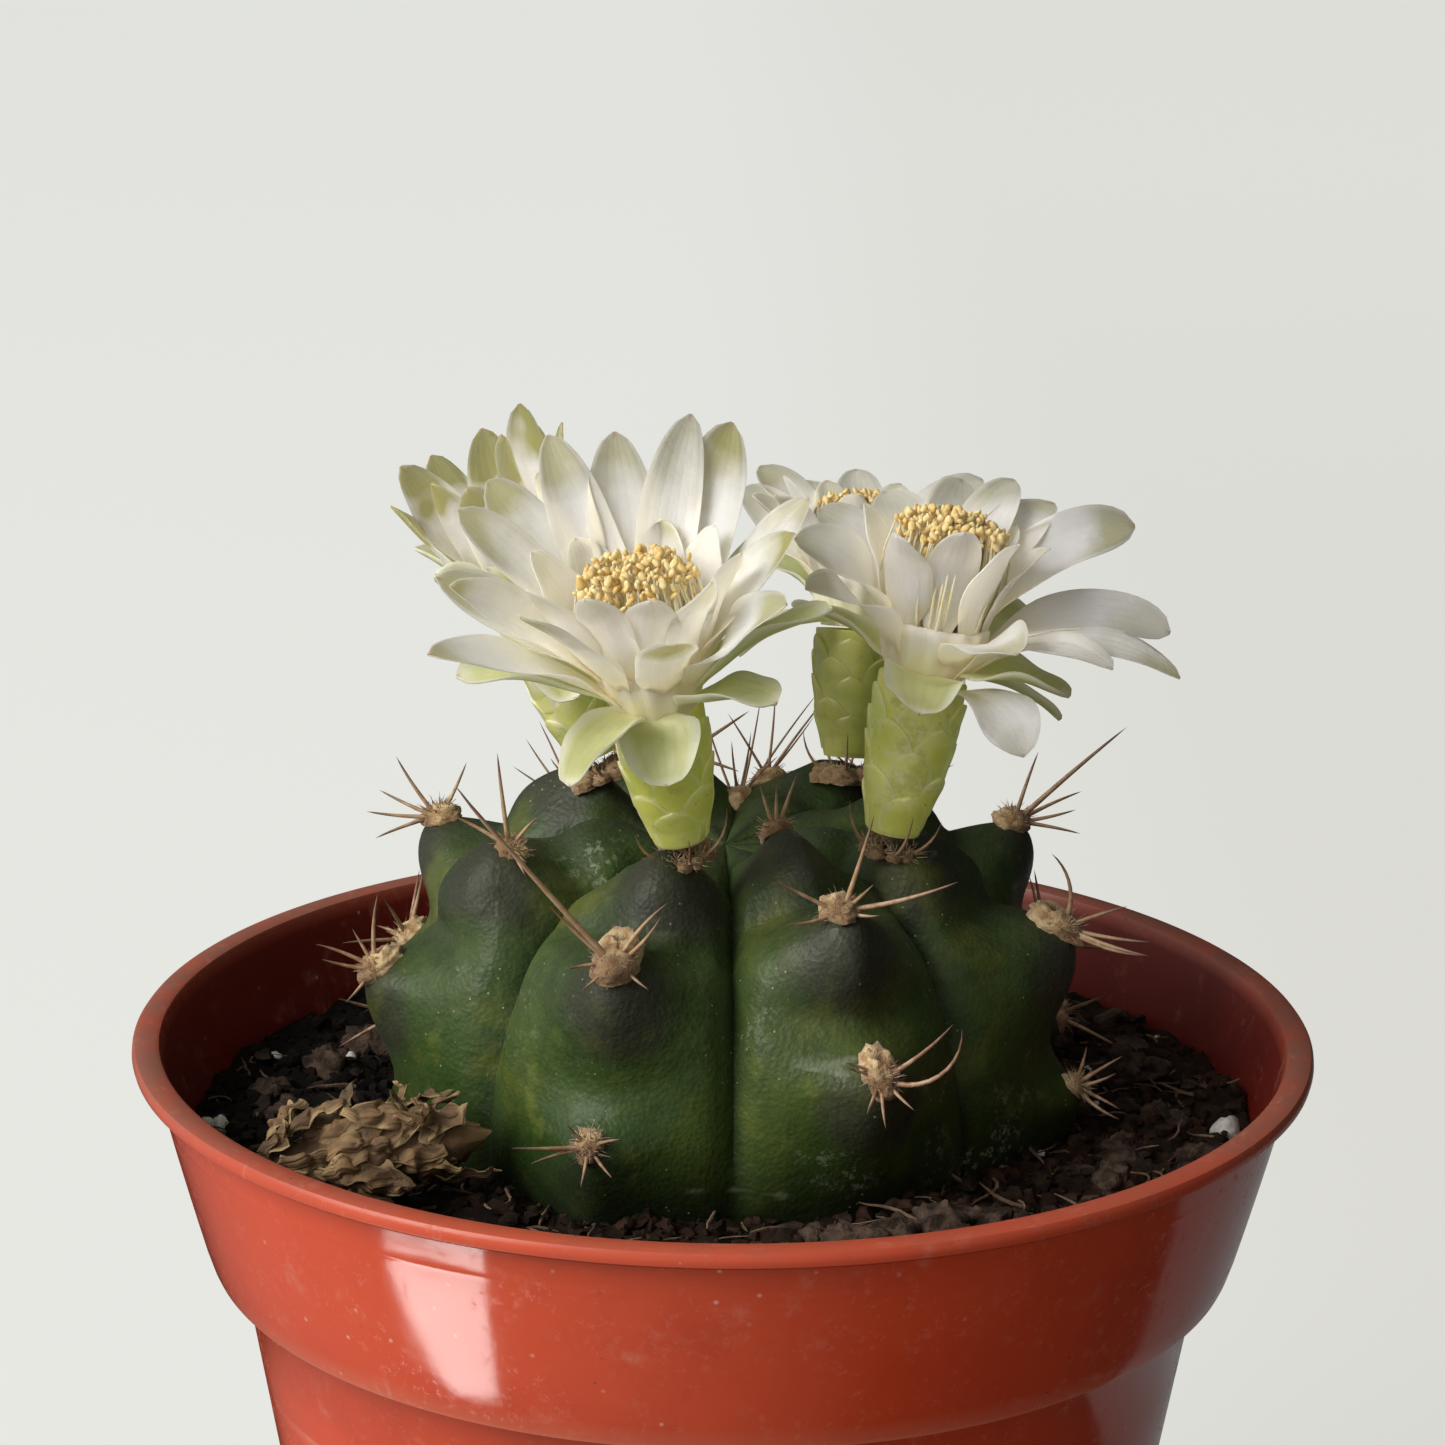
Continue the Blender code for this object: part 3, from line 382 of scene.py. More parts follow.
def direction(azimuth):
    angle = math.radians(azimuth)
    return Vector((math.sin(angle), -math.cos(angle), 0))


def ways(azimuths):
    """Unit vectors, as an array, that point out at these azimuths."""
    angles = np.radians(azimuths)
    return np.stack([np.sin(angles), -np.cos(angles), np.zeros_like(angles)], -1)


class Pile:
    """Gathers meshes that make up one piece, with values for the shader at their points."""

    def __init__(self, *values):
        self.points = []
        self.faces = []
        self.values = {name: [] for name in values}
        self.count = 0

    def add(self, points, faces, **values):
        points = np.asarray(points, float).reshape(-1, 3)
        for face in faces:
            face = np.asarray(face)
            if len(face):
                self.faces.append(face + self.count)
        self.points.append(points)
        for name, found in self.values.items():
            found.append(np.broadcast_to(np.asarray(values[name], float).reshape(-1), (len(points),)))
        self.count += len(points)

    def piece(self, name, look, slot, *nodes, angle=50):
        """The finished piece, riding on the one body there is, in place of the solids it stands for."""
        mesh = bpy.data.meshes.new(name)
        faces = [row for block in self.faces for row in block.tolist()]
        mesh.from_pydata((np.concatenate(self.points) * MM).tolist(), [], faces)
        for label, found in self.values.items():
            layer = mesh.attributes.new(label, "FLOAT", "POINT")
            layer.data.foreach_set("value", np.concatenate(found).astype(np.float32))
        mesh.shade_smooth()
        mesh.set_sharp_from_angle(angle=math.radians(angle))
        mesh.materials.append(look)
        obj = bpy.data.objects.new(name, mesh)
        bpy.context.scene.collection.objects.link(obj)
        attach(obj, "root")
        if nodes:
            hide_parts(*nodes)
        return obj


def grid_faces(rows, columns, closed):
    """Quads between rows of points; closed joins the last column to the first."""
    across = columns if closed else columns - 1
    row, column = np.meshgrid(np.arange(rows - 1), np.arange(across), indexing="ij")
    after = (column + 1) % columns
    a = row * columns + column
    b = row * columns + after
    return np.stack([a, b, b + columns, a + columns], -1).reshape(-1, 4)


def fan(points, centre, flip=False):
    """Triangles from a closed ring of point numbers to a centre."""
    points = np.asarray(points)
    after = np.roll(points, -1)
    middle = np.full_like(points, centre)
    return np.stack([after, points, middle] if flip else [points, after, middle], -1)


def turned(rings, sides):
    """The points of a surface of revolution, from (radius, height) pairs; it faces out when heights rise."""
    radii, heights = np.array(rings, float).T
    out = ways(360 * np.arange(sides) / sides)
    return radii[:, None, None] * out[None] + heights[:, None, None] * UP


def capped(points, first, last, flip=False):
    """Rings of points, rows by columns, as a closed mesh whose ends are drawn in to two more points."""
    rows, columns = points.shape[:2]
    count = rows * columns
    quads = grid_faces(rows, columns, True)
    caps = (fan(np.arange(columns), count, not flip), fan(np.arange(count - columns, count), count + 1, flip))
    ends = np.array([list(first), list(last)])
    return np.concatenate([points.reshape(-1, 3), ends]), (quads[:, ::-1] if flip else quads, *caps)


def spread(values, columns, first, last):
    """A value for each point of a capped mesh, from one for each ring and one for each end."""
    return np.append(np.repeat(values, columns), [first, last])


def ball(tilts, columns):
    """The points of a unit ball, in rings at these angles from its top, and each point's angle round it."""
    tilt, turn = np.meshgrid(tilts, 2 * math.pi * np.arange(columns) / columns, indexing="ij")
    return np.stack([np.sin(tilt) * np.cos(turn), np.sin(tilt) * np.sin(turn), np.cos(tilt)], -1), turn


def tumbled(points, draw, tip):
    """Points turned at random round +Z, after a random tip of up to this angle."""
    turn = Matrix.Rotation(draw.uniform(0, 6.28), 3, "Z") @ Matrix.Rotation(draw.uniform(-tip, tip), 3, "X")
    return points @ np.array(turn).T


def slab(top, bottom):
    """A closed sheet between two grids of points."""
    rows, columns = top.shape[:2]
    upper = grid_faces(rows, columns, False)
    lower = upper[:, ::-1] + rows * columns
    numbers = np.arange(rows * columns).reshape(rows, columns)
    rim = np.concatenate([numbers[0, :-1], numbers[:-1, -1], numbers[-1, :0:-1], numbers[:0:-1, 0]])
    after = np.roll(rim, -1)
    side = np.stack([after, rim, rim + rows * columns, after + rows * columns], -1)
    return np.concatenate([top.reshape(-1, 3), bottom.reshape(-1, 3)]), np.concatenate([upper, lower, side])


def tube(centres, radii, sides, normal):
    """A round tube through centres, its ends closed to points; radii has one value for each centre."""
    centres = np.asarray(centres, float)
    along = np.gradient(centres, axis=0)
    along /= np.linalg.norm(along, axis=1, keepdims=True)
    across = np.cross(along, np.asarray(normal, float))
    across /= np.linalg.norm(across, axis=1, keepdims=True)
    other = np.cross(along, across)
    angles = 2 * math.pi * np.arange(sides) / sides
    ring = across[:, None] * np.cos(angles)[None, :, None] + other[:, None] * np.sin(angles)[None, :, None]
    points = centres[:, None] + ring * np.asarray(radii, float)[:, None, None]
    return capped(points, centres[0], centres[-1] + along[-1] * radii[-1])


def wobble(points, scale, seed):
    """Smooth noise at each point, from -1 to 1."""
    shift = Vector((seed * 13.7, seed * 7.3, seed * 3.1))
    flat = np.asarray(points, float).reshape(-1, 3)
    found = [noise.noise(Vector(p) * scale + shift) for p in flat.tolist()]
    return np.array(found).reshape(np.asarray(points).shape[:-1])


def smooth(low_end, high_end, value):
    share = np.clip((np.asarray(value, float) - low_end) / (high_end - low_end), 0, 1)
    return share * share * (3 - 2 * share)


# Shaders

class Look:
    """A Principled material, built up node by node over its colour and its normal so far."""

    def __init__(self, name):
        self.material = bpy.data.materials.new(name)
        self.material.use_nodes = True
        self.tree = self.material.node_tree
        self.shader = self.tree.nodes["Principled BSDF"]
        self.coords = self.tree.nodes.new("ShaderNodeTexCoord").outputs["Object"]
        self.colour = None
        self.normal = None

    def feed(self, node, inputs):
        for name, value in inputs.items():
            socket = node.inputs[name if isinstance(name, int) else name.replace("_", " ")]
            if isinstance(value, bpy.types.NodeSocket):
                self.tree.links.new(value, socket)
            elif isinstance(value, tuple) and len(value) == 3 and socket.type == "RGBA":
                socket.default_value = (*value, 1)
            else:
                socket.default_value = value

    def node(self, kind, settings=(), inputs=None):
        made = self.tree.nodes.new(kind)
        for name, value in dict(settings).items():
            setattr(made, name, value)
        self.feed(made, inputs or {})
        return made

    def value(self, name):
        return self.node("ShaderNodeAttribute", {"attribute_name": name}).outputs["Fac"]

    def place(self, axis):
        return self.node("ShaderNodeSeparateXYZ", (), {0: self.coords}).outputs[axis]

    def stretched(self, x, y, z):
        inputs = {"Vector": self.coords, "Scale": (x, y, z)}
        return self.node("ShaderNodeMapping", (), inputs).outputs["Vector"]

    def noise(self, scale, detail=3.0, roughness=0.55, vector=None):
        """Noise whose patches are about 1000 / scale millimetres across."""
        inputs = {"Vector": vector or self.coords, "Scale": scale, "Detail": detail, "Roughness": roughness}
        return self.node("ShaderNodeTexNoise", (), inputs).outputs["Fac"]

    def cells(self, scale):
        inputs = {"Vector": self.coords, "Scale": scale}
        return self.node("ShaderNodeTexVoronoi", {"feature": "F1"}, inputs).outputs["Distance"]

    def span(self, value, start, end, low=0.0, high=1.0):
        """A value spread smoothly: low where it is at start, high where it is at end."""
        inputs = {"Value": value, "From Min": start, "From Max": end, "To Min": low, "To Max": high}
        return self.node("ShaderNodeMapRange", {"interpolation_type": "SMOOTHSTEP"}, inputs).outputs["Result"]

    def patches(self, scale, detail, start, end, low=0.0, high=1.0, roughness=0.55, vector=None):
        """Noise, spread the same way."""
        return self.span(self.noise(scale, detail, roughness, vector), start, end, low, high)

    def math(self, operation, first, second=0.0):
        return self.node("ShaderNodeMath", {"operation": operation}, {0: first, 1: second}).outputs[0]

    def times(self, first, second):
        return self.math("MULTIPLY", first, second)

    def most(self, first, second):
        return self.math("MAXIMUM", first, second)

    def specks(self, scale, start, end, area, low, high):
        """Small dots, one in each cell, that fade from start to end and come in areas."""
        dots = self.span(self.cells(scale), start, end, 1.0, 0.0)
        return self.times(dots, self.patches(area, 2, low, high))

    def stripes(self, across, number):
        return self.math("SINE", self.times(across, number))

    def mix(self, share, first, second):
        inputs = {0: share, 6: first, 7: second}
        return self.node("ShaderNodeMix", {"data_type": "RGBA", "blend_type": "MIX"}, inputs).outputs[2]

    def paint(self, share, colour, amount=None):
        """Lays a colour over the one so far, by a share that may be scaled down."""
        self.colour = self.mix(share if amount is None else self.times(share, amount), self.colour, colour)

    def emboss(self, height, strength, distance):
        """Adds relief, distance metres high, to what is there so far."""
        inputs = {"Height": height, "Strength": strength, "Distance": distance}
        if self.normal is not None:
            inputs["Normal"] = self.normal
        self.normal = self.node("ShaderNodeBump", (), inputs).outputs["Normal"]

    def done(self, **inputs):
        made = {"Base Color": self.colour, "Normal": self.normal}
        self.feed(self.shader, {name: value for name, value in made.items() if value is not None} | inputs)
        return self.material


def pot_look():
    """Moulded terracotta-red plastic, dusty on the rim, scuffed, scratched and specked outside; painted shade
    inside and a painted highlight along the band's lower edge.
    """
    look = Look("pot_plastic")
    rim = look.value("rim")
    inside = look.value("inside")
    look.colour = look.mix(look.patches(22, 4, 0.3, 0.7), (0.56, 0.052, 0.015), (0.64, 0.074, 0.024))
    look.paint(look.patches(55, 5, 0.48, 0.72, roughness=0.65), (0.42, 0.040, 0.014), 0.35)
    # Painted shade: the inside of the pot is darkened where its hollow keeps the light out.
    look.paint(inside, (0.150, 0.011, 0.006))
    dusty = look.times(rim, look.patches(120, 5, 0.25, 0.6, 0.5, 0.95, roughness=0.7))
    look.paint(look.times(dusty, look.span(look.place("Y"), -0.056, -0.018, 0.45, 1.0)), (0.25, 0.105, 0.075))
    look.paint(look.patches(190, 6, 0.56, 0.78, roughness=0.7), (0.66, 0.33, 0.24), 0.30)
    # Painted highlight: a bright line along the band's lower edge.
    look.paint(look.value("worn"), (0.78, 0.26, 0.16), 0.55)
    look.paint(look.specks(420, 0.02, 0.09, 60, 0.48, 0.64), (0.05, 0.025, 0.02), 0.8)
    look.paint(look.specks(330, 0.03, 0.11, 45, 0.50, 0.66), (0.78, 0.52, 0.42), 0.6)
    lines = look.patches(260, 3, 0.66, 0.74, roughness=0.6, vector=look.stretched(0.05, 0.05, 1))
    strokes = look.patches(300, 3, 0.62, 0.76, roughness=0.6, vector=look.stretched(1, 1, 0.06))
    scratch = look.times(look.most(lines, strokes), look.patches(40, 3, 0.46, 0.62))
    look.paint(scratch, (0.80, 0.42, 0.32), 0.22)
    grime = look.times(look.patches(900, 5, 0.53, 0.64, roughness=0.75), look.patches(110, 4, 0.42, 0.60))
    look.paint(grime, (0.74, 0.34, 0.24), 0.09)
    rough = look.math("ADD", look.patches(90, 5, 0.3, 0.75, 0.07, 0.14), look.times(scratch, 0.18))
    rough = look.math("ADD", rough, look.times(grime, 0.30))
    rough = look.math("ADD", rough, look.times(look.most(rim, inside), 0.34))
    look.emboss(look.noise(30, 3), 0.22, 0.0004)
    look.emboss(look.noise(420, 4, 0.7), 0.12, 0.00006)
    return look.done(Roughness=rough, Specular_IOR_Level=0.42)


def skin_look():
    """Velvety skin: green low down, dark on the ridges, grey on the chins, with scuffs; painted shade in the
    furrows and near the soil.
    """
    look = Look("cactus_skin")
    chin = look.value("chin")
    ridge = look.value("ridge")
    low = look.value("low")
    look.colour = look.mix(look.patches(60, 4, 0.35, 0.65), (0.031, 0.060, 0.014), (0.064, 0.102, 0.030))
    lush = look.mix(look.patches(48, 3, 0.4, 0.62), (0.019, 0.052, 0.006), (0.070, 0.104, 0.012))
    look.paint(low, lush, 0.75)
    look.paint(look.times(ridge, look.patches(90, 4, 0.25, 0.6, 0.45, 0.95)), (0.022, 0.030, 0.015))
    uneven = look.times(look.math("SUBTRACT", look.noise(190, 4, 0.6), 0.5), 0.9)
    grey = look.span(look.math("ADD", chin, look.times(uneven, chin)), 0.22, 0.72)
    look.paint(grey, (0.034, 0.031, 0.026), 0.78)
    # Painted shade in the bottoms of the furrows.
    look.paint(look.value("deep"), (0.010, 0.026, 0.005), 0.8)
    olive = look.times(look.patches(85, 4, 0.52, 0.72, roughness=0.6), look.span(ridge, 1.0, 0.3, 0.0, 0.7))
    look.paint(olive, (0.105, 0.115, 0.020))
    look.paint(look.patches(330, 5, 0.40, 0.66, roughness=0.7), (0.014, 0.026, 0.006), 0.34)
    look.paint(look.times(look.patches(200, 4, 0.56, 0.72, roughness=0.6), low), (0.135, 0.165, 0.028), 0.5)
    look.paint(look.span(look.cells(2400), 0.0, 0.40, 0.16, 0.0), (0.15, 0.19, 0.08))
    # Painted shade on the lowest skin, next to the soil, in patches.
    soil_line_shade = look.times(look.value("foot"), look.patches(130, 4, 0.2, 0.6, 0.6, 1.0))
    look.paint(soil_line_shade, (0.008, 0.014, 0.003))
    scuff = look.times(look.patches(1100, 5, 0.53, 0.60, roughness=0.75), look.patches(70, 3, 0.56, 0.70))
    arcs = look.patches(240, 3, 0.64, 0.72, roughness=0.6, vector=look.stretched(0.25, 0.25, 1))
    scuff = look.most(scuff, look.times(arcs, look.patches(50, 3, 0.50, 0.62)))
    look.paint(scuff, (0.36, 0.40, 0.31), 0.46)
    look.paint(look.specks(900, 0.03, 0.13, 130, 0.5, 0.62), (0.46, 0.50, 0.38), 0.7)
    look.emboss(look.noise(110, 4, 0.55), 0.45, 0.0012)
    look.emboss(look.noise(380, 4, 0.6), 0.40, 0.0004)
    look.emboss(look.noise(1200, 3, 0.6), 0.35, 0.0002)
    look.emboss(look.cells(2000), 0.6, 0.00008)
    return look.done(
        Roughness=look.patches(240, 3, 0.3, 0.7, 0.38, 0.54),
        Subsurface_Weight=0.05,
        Subsurface_Radius=(0.0006, 0.0012, 0.0004),
        Subsurface_Scale=1.0,
        Specular_IOR_Level=0.24,
        Sheen_Weight=0.02,
        Sheen_Roughness=0.45,
    )


def wool_look():
    """Crusty cream wool, browner at its foot, with dark pits."""
    look = Look("areole_wool")
    foot = look.value("foot")
    look.colour = look.mix(look.patches(900, 4, 0.35, 0.65), (0.38, 0.22, 0.10), (0.74, 0.56, 0.32))
    look.paint(foot, (0.20, 0.11, 0.05), 0.8)
    dark = look.most(look.times(look.patches(1300, 3, 0.58, 0.70), 0.65), look.span(foot, 1.0, 1.8, 0.0, 0.7))
    look.paint(dark, (0.095, 0.050, 0.026))
    look.emboss(look.noise(1500, 4, 0.7), 0.9, 0.0004)
    return look.done(Roughness=0.9, Sheen_Weight=0.2)


def spine_look():
    """Tan horn with pale streaks and dark tips."""
    look = Look("spine_horn")
    look.colour = look.mix(look.value("tint"), (0.46, 0.29, 0.155), (0.21, 0.095, 0.050))
    look.paint(look.patches(900, 3, 0.4, 0.62), (0.60, 0.45, 0.31), 0.5)
    look.paint(look.span(look.value("tip"), 0.45, 1.0, 0.0, 0.9), (0.13, 0.065, 0.050))
    look.emboss(look.noise(1800, 3), 0.3, 0.0001)
    return look.done(Roughness=0.45)


def tepal_look(name, white):
    """White tepals or green sepals: veins, a cream throat, olive patches near the tips and a pink point, and
    a faint painted glow.
    """
    look = Look(name)
    along = look.value("along")
    across = look.value("across")
    off_middle = look.math("ABSOLUTE", across)
    veins = look.math("ADD", look.stripes(across, 21.0), look.times(look.noise(500, 3), 0.8))
    veins = look.span(veins, 0.2, 1.6)
    blotch = look.noise(150, 2, 0.4)
    if white:
        look.colour = look.mix(look.times(veins, 0.16), (1.0, 0.98, 0.90), (0.86, 0.82, 0.66))
        look.paint(look.span(along, 0.50, 0.0), (0.95, 0.84, 0.50))
        tip = look.math("ADD", along, look.times(look.math("SUBTRACT", blotch, 0.5), 0.6))
        edge = look.span(off_middle, 0.72, 1.0)
        patch = look.times(look.span(tip, 0.64, 0.90), look.span(edge, 1.0, 0.0, 0.6, 1.0))
        look.paint(look.times(patch, look.value("tint")), (0.27, 0.26, 0.06))
    else:
        look.colour = look.mix(look.times(veins, 0.25), (0.60, 0.62, 0.30), (0.49, 0.51, 0.22))
        look.paint(look.span(blotch, 0.38, 0.66), (0.36, 0.37, 0.14), 0.8)
        look.paint(look.span(along, 0.40, 0.0), (0.78, 0.76, 0.46))
        margin = look.most(look.span(off_middle, 0.55, 1.0), look.span(along, 0.86, 0.99))
        look.paint(margin, (0.84, 0.83, 0.66), 0.75)
    point = look.times(look.span(along, 0.96, 1.0), look.span(off_middle, 0.7, 0.1))
    look.paint(point, (0.36, 0.13, 0.10), 0.7)
    look.emboss(veins, 0.12, 0.00010)
    look.emboss(look.noise(260, 4, 0.6), 0.40, 0.0005)
    return look.done(
        Roughness=look.patches(700, 2, 0.3, 0.7, 0.42, 0.58),
        Subsurface_Weight=0.7 if white else 0.4,
        Subsurface_Radius=(0.0030, 0.0028, 0.0020),
        Subsurface_Scale=1.0,
        Sheen_Weight=0.05,
        # A faint painted glow, standing in for light that shines through the thin tepals.
        Emission_Color=(1.0, 0.88, 0.60) if white else (0.62, 0.72, 0.20),
        Emission_Strength=0.045,
    )


def tube_look():
    """Waxy yellow-green, pale at the scales' edges, bruised and freckled; darkened to olive by painted shade
    where a bloom sits in shade, with a faint painted glow.
    """
    look = Look("tube_wax")
    look.colour = look.mix(look.patches(150, 4, 0.35, 0.65), (0.70, 0.73, 0.12), (0.92, 0.93, 0.31))
    look.paint(look.value("foot"), (0.66, 0.62, 0.28), 0.5)
    look.paint(look.patches(300, 4, 0.52, 0.66, roughness=0.6), (0.34, 0.36, 0.05), 0.55)
    look.paint(look.value("edge"), (0.97, 0.95, 0.52), 0.8)
    scab = look.times(look.patches(520, 5, 0.53, 0.58, roughness=0.75), look.patches(150, 3, 0.42, 0.54))
    look.paint(scab, (0.95, 0.86, 0.58), 0.7)
    # Painted shade: the tubes of blooms that sit in shade are darkened to olive, each by its bloom's own
    # amount.
    shaded = look.mix(look.patches(170, 4, 0.3, 0.7), (0.15, 0.14, 0.03), (0.34, 0.33, 0.10))
    look.paint(look.value("dull"), shaded)
    look.paint(look.specks(900, 0.05, 0.16, 200, 0.5, 0.62), (0.20, 0.13, 0.05), 0.7)
    look.emboss(look.noise(420, 4), 0.3, 0.0004)
    return look.done(
        Roughness=0.34,
        Subsurface_Weight=0.5,
        Subsurface_Radius=(0.0030, 0.0034, 0.0010),
        Subsurface_Scale=1.0,
        # A faint painted glow, standing in for light that shines through the waxy tube.
        Emission_Color=(0.60, 0.68, 0.13),
        Emission_Strength=0.07,
    )


def plain_look(name, first, second, scale, roughness, subsurface=0.0, depth=0.0003, left_shadow=0.0):
    """Two colours mixed by noise, with a bump of the same grain; the last argument paints shadow over the
    left of the pot, where its rim shades the soil.
    """
    look = Look(name)
    look.colour = look.mix(look.patches(scale, 5, 0.3, 0.7, roughness=0.65), first, second)
    if left_shadow:
        # Painted shadow over the soil at the left of the pot, where the rim shades it.
        look.paint(look.span(look.place("X"), -0.012, -0.036), (0.0012, 0.0007, 0.0005), left_shadow)
    look.emboss(look.noise(scale * 2.2, 5, 0.7), 0.7, depth)
    return look.done(
        Roughness=roughness,
        Subsurface_Weight=subsurface,
        Subsurface_Radius=(0.0010, 0.0008, 0.0004),
        Subsurface_Scale=1.0,
        Specular_IOR_Level=0.2,
    )


def dried_look():
    """Brown paper with veins, pale torn edges and dark rot."""
    look = Look("dried_paper")
    along = look.value("along")
    across = look.value("across")
    fibre = look.patches(240, 4, 0.3, 0.7, roughness=0.6)
    look.colour = look.mix(fibre, (0.070, 0.036, 0.016), (0.27, 0.165, 0.075))
    veins = look.span(look.stripes(across, 16.0), -0.2, 1.0)
    look.paint(veins, (0.13, 0.075, 0.04), 0.35)
    edge = look.most(look.span(look.math("ABSOLUTE", across), 0.7, 1.0), look.span(along, 0.85, 1.0))
    look.paint(edge, (0.50, 0.36, 0.18), 0.55)
    look.paint(look.patches(130, 4, 0.55, 0.7), (0.045, 0.026, 0.014), 0.7)
    look.emboss(veins, 0.5, 0.0002)
    look.emboss(look.noise(900, 4, 0.7), 0.5, 0.0003)
    return look.done(Roughness=0.8)


# Pot

def pot_profile():
    """(radius, height, rim share, inside share) down the pot's section, from the base up and over the lip."""
    step = POT_HEIGHT - BAND_HEIGHT
    lip_foot = POT_HEIGHT - LIP_DROP
    rings = [(BASE_RADIUS - 1.6, 0, 0, 0), (BASE_RADIUS - 0.6, 0.15, 0, 0), (BASE_RADIUS - 0.1, 0.7, 0, 0)]
    for k in range(9):
        share = k / 8
        radius = BASE_RADIUS + share * (WALL_TOP_RADIUS - BASE_RADIUS)
        rings.append((radius, 1.2 + share * (step - 2.2), 0, 0))
    rings += [
        (WALL_TOP_RADIUS + 0.35, step - 0.55, 0, 0), (BAND_FOOT_RADIUS - 0.7, step - 0.15, 0, 0),
        (BAND_FOOT_RADIUS - 0.15, step + 0.15, 0, 0), (BAND_FOOT_RADIUS + 0.1, step + 0.7, 0, 0),
    ]
    for share in sorted([k / 8 for k in range(1, 9)] + [BAND_LINE + 0.008 * k for k in range(-3, 4)]):
        line = BAND_LINE_HEIGHT * math.exp(-(((share - BAND_LINE) / 0.011) ** 2))
        swell = 0.12 * math.sin(math.pi * share) + line
        radius = BAND_FOOT_RADIUS + share * (BAND_TOP_RADIUS - BAND_FOOT_RADIUS) + swell
        rings.append((radius, step + share * (lip_foot - step) - (0.25 if share == 1 else 0), 0, 0))
    rings += [
        (BAND_TOP_RADIUS + 0.5, lip_foot - 0.05, 0.1, 0), (RIM_RADIUS - 0.5, lip_foot + 0.1, 0.3, 0),
        (RIM_RADIUS - 0.1, lip_foot + 0.4, 0.4, 0), (RIM_RADIUS, lip_foot + 0.8, 0.4, 0),
        (RIM_RADIUS - 0.05, POT_HEIGHT - 0.5, 0.5, 0), (RIM_RADIUS - 0.3, POT_HEIGHT - 0.15, 0.9, 0),
        (RIM_RADIUS - 0.8, POT_HEIGHT, 1, 0), (LIP_INNER_RADIUS + 0.5, POT_HEIGHT, 1, 0),
        (LIP_INNER_RADIUS + 0.1, POT_HEIGHT - 0.15, 0.8, 0.2),
        (LIP_INNER_RADIUS - 0.1, POT_HEIGHT - 0.6, 0.4, 0.6),
    ]
    for k in range(9):
        height = lip_foot + (step + WALL + 0.2 - lip_foot) * k / 8
        rings.append((inner_wall_radius(height), height, 0, 1))
    for height in (step + WALL - 0.2, step * 0.5, WALL):
        rings.append((inner_wall_radius(height), height, 0, 1))
    return rings


def inner_wall_radius(height):
    step = POT_HEIGHT - BAND_HEIGHT
    if height > step + WALL:
        share = (height - step) / (BAND_HEIGHT - LIP_DROP)
        return BAND_FOOT_RADIUS - WALL + share * (BAND_TOP_RADIUS - BAND_FOOT_RADIUS)
    return BASE_RADIUS - WALL + (height / step) * (WALL_TOP_RADIUS - BASE_RADIUS)


def make_pot():
    profile = pot_profile()
    inset = math.cos(math.pi / SOLID_POT_SIDES) * POT_SHRINK
    points = turned([(r * inset, z) for r, z, _, _ in profile], POT_SIDES)
    step = POT_HEIGHT - BAND_HEIGHT
    # A painted highlight: a thin bright ring just above the band's lower edge, outside only.
    worn = []
    for radius, height, _, inside in profile:
        near = math.exp(-(((height - step - EDGE_HIGHLIGHT_ABOVE_STEP) / EDGE_HIGHLIGHT_WIDTH) ** 2))
        worn.append(near * (radius > WALL_TOP_RADIUS + 1) * (1 - inside))
    pile = Pile("rim", "inside", "worn")
    pile.add(
        *capped(points, (0, 0, 0), (0, 0, WALL)),
        rim=spread([ring[2] for ring in profile], POT_SIDES, 0, 0),
        inside=spread([ring[3] for ring in profile], POT_SIDES, 0, 1),
        worn=spread(worn, POT_SIDES, 0, 0),
    )
    drill_holes(pile.piece("pot_shell", pot_look(), "pot_plastic", "pot", angle=30))


def drill_holes(pot):
    drills = Pile()
    foot, top = DRILL_HEIGHTS
    for i in range(DRAIN_HOLES):
        centre = np.array(direction(DRAIN_START + 360 * i / DRAIN_HOLES)) * DRAIN_CIRCLE
        drill = turned([(DRAIN_RADIUS, foot), (DRAIN_RADIUS, top)], DRILL_SIDES)
        points, faces = capped(drill, (0, 0, foot), (0, 0, top))
        drills.add(points + centre, faces)
    cutter = drills.piece("drills", pot.data.materials[0], "pot_plastic")
    modifier = pot.modifiers.new("holes", "BOOLEAN")
    modifier.object = cutter
    modifier.operation = "DIFFERENCE"
    graph = bpy.context.evaluated_depsgraph_get()
    drilled = bpy.data.meshes.new_from_object(pot.evaluated_get(graph))
    pot.modifiers.remove(modifier)
    pot.data = drilled
    bpy.data.objects.remove(cutter)


# Plant body

def crest_profile():
    """Distance from the crown, radius and height along a rib's crest."""
    turn = np.radians(90 - 180 * np.arange(801) / 800)
    upper = turn > 0
    power = np.where(upper, SHOULDER_POWER, BOWL_POWER)
    reach = np.where(upper, BODY_TOP - BODY_WAIST_HEIGHT, BODY_BURIED)
    radius = BODY_RADIUS * np.maximum(np.cos(turn), 0) ** (2 / power)
    rise = np.sign(turn) * reach * np.abs(np.sin(turn)) ** (2 / power)
    dip = np.where(upper, CROWN_DIP * np.exp(-((radius / CROWN_DIP_RADIUS) ** 2)), 0)
    height = BODY_WAIST_HEIGHT + rise - dip
    arcs = np.concatenate([[0], np.cumsum(np.hypot(np.diff(radius), np.diff(height)))])
    return arcs, radius, height


CREST = crest_profile()
CREST_LENGTH = CREST[0][-1]


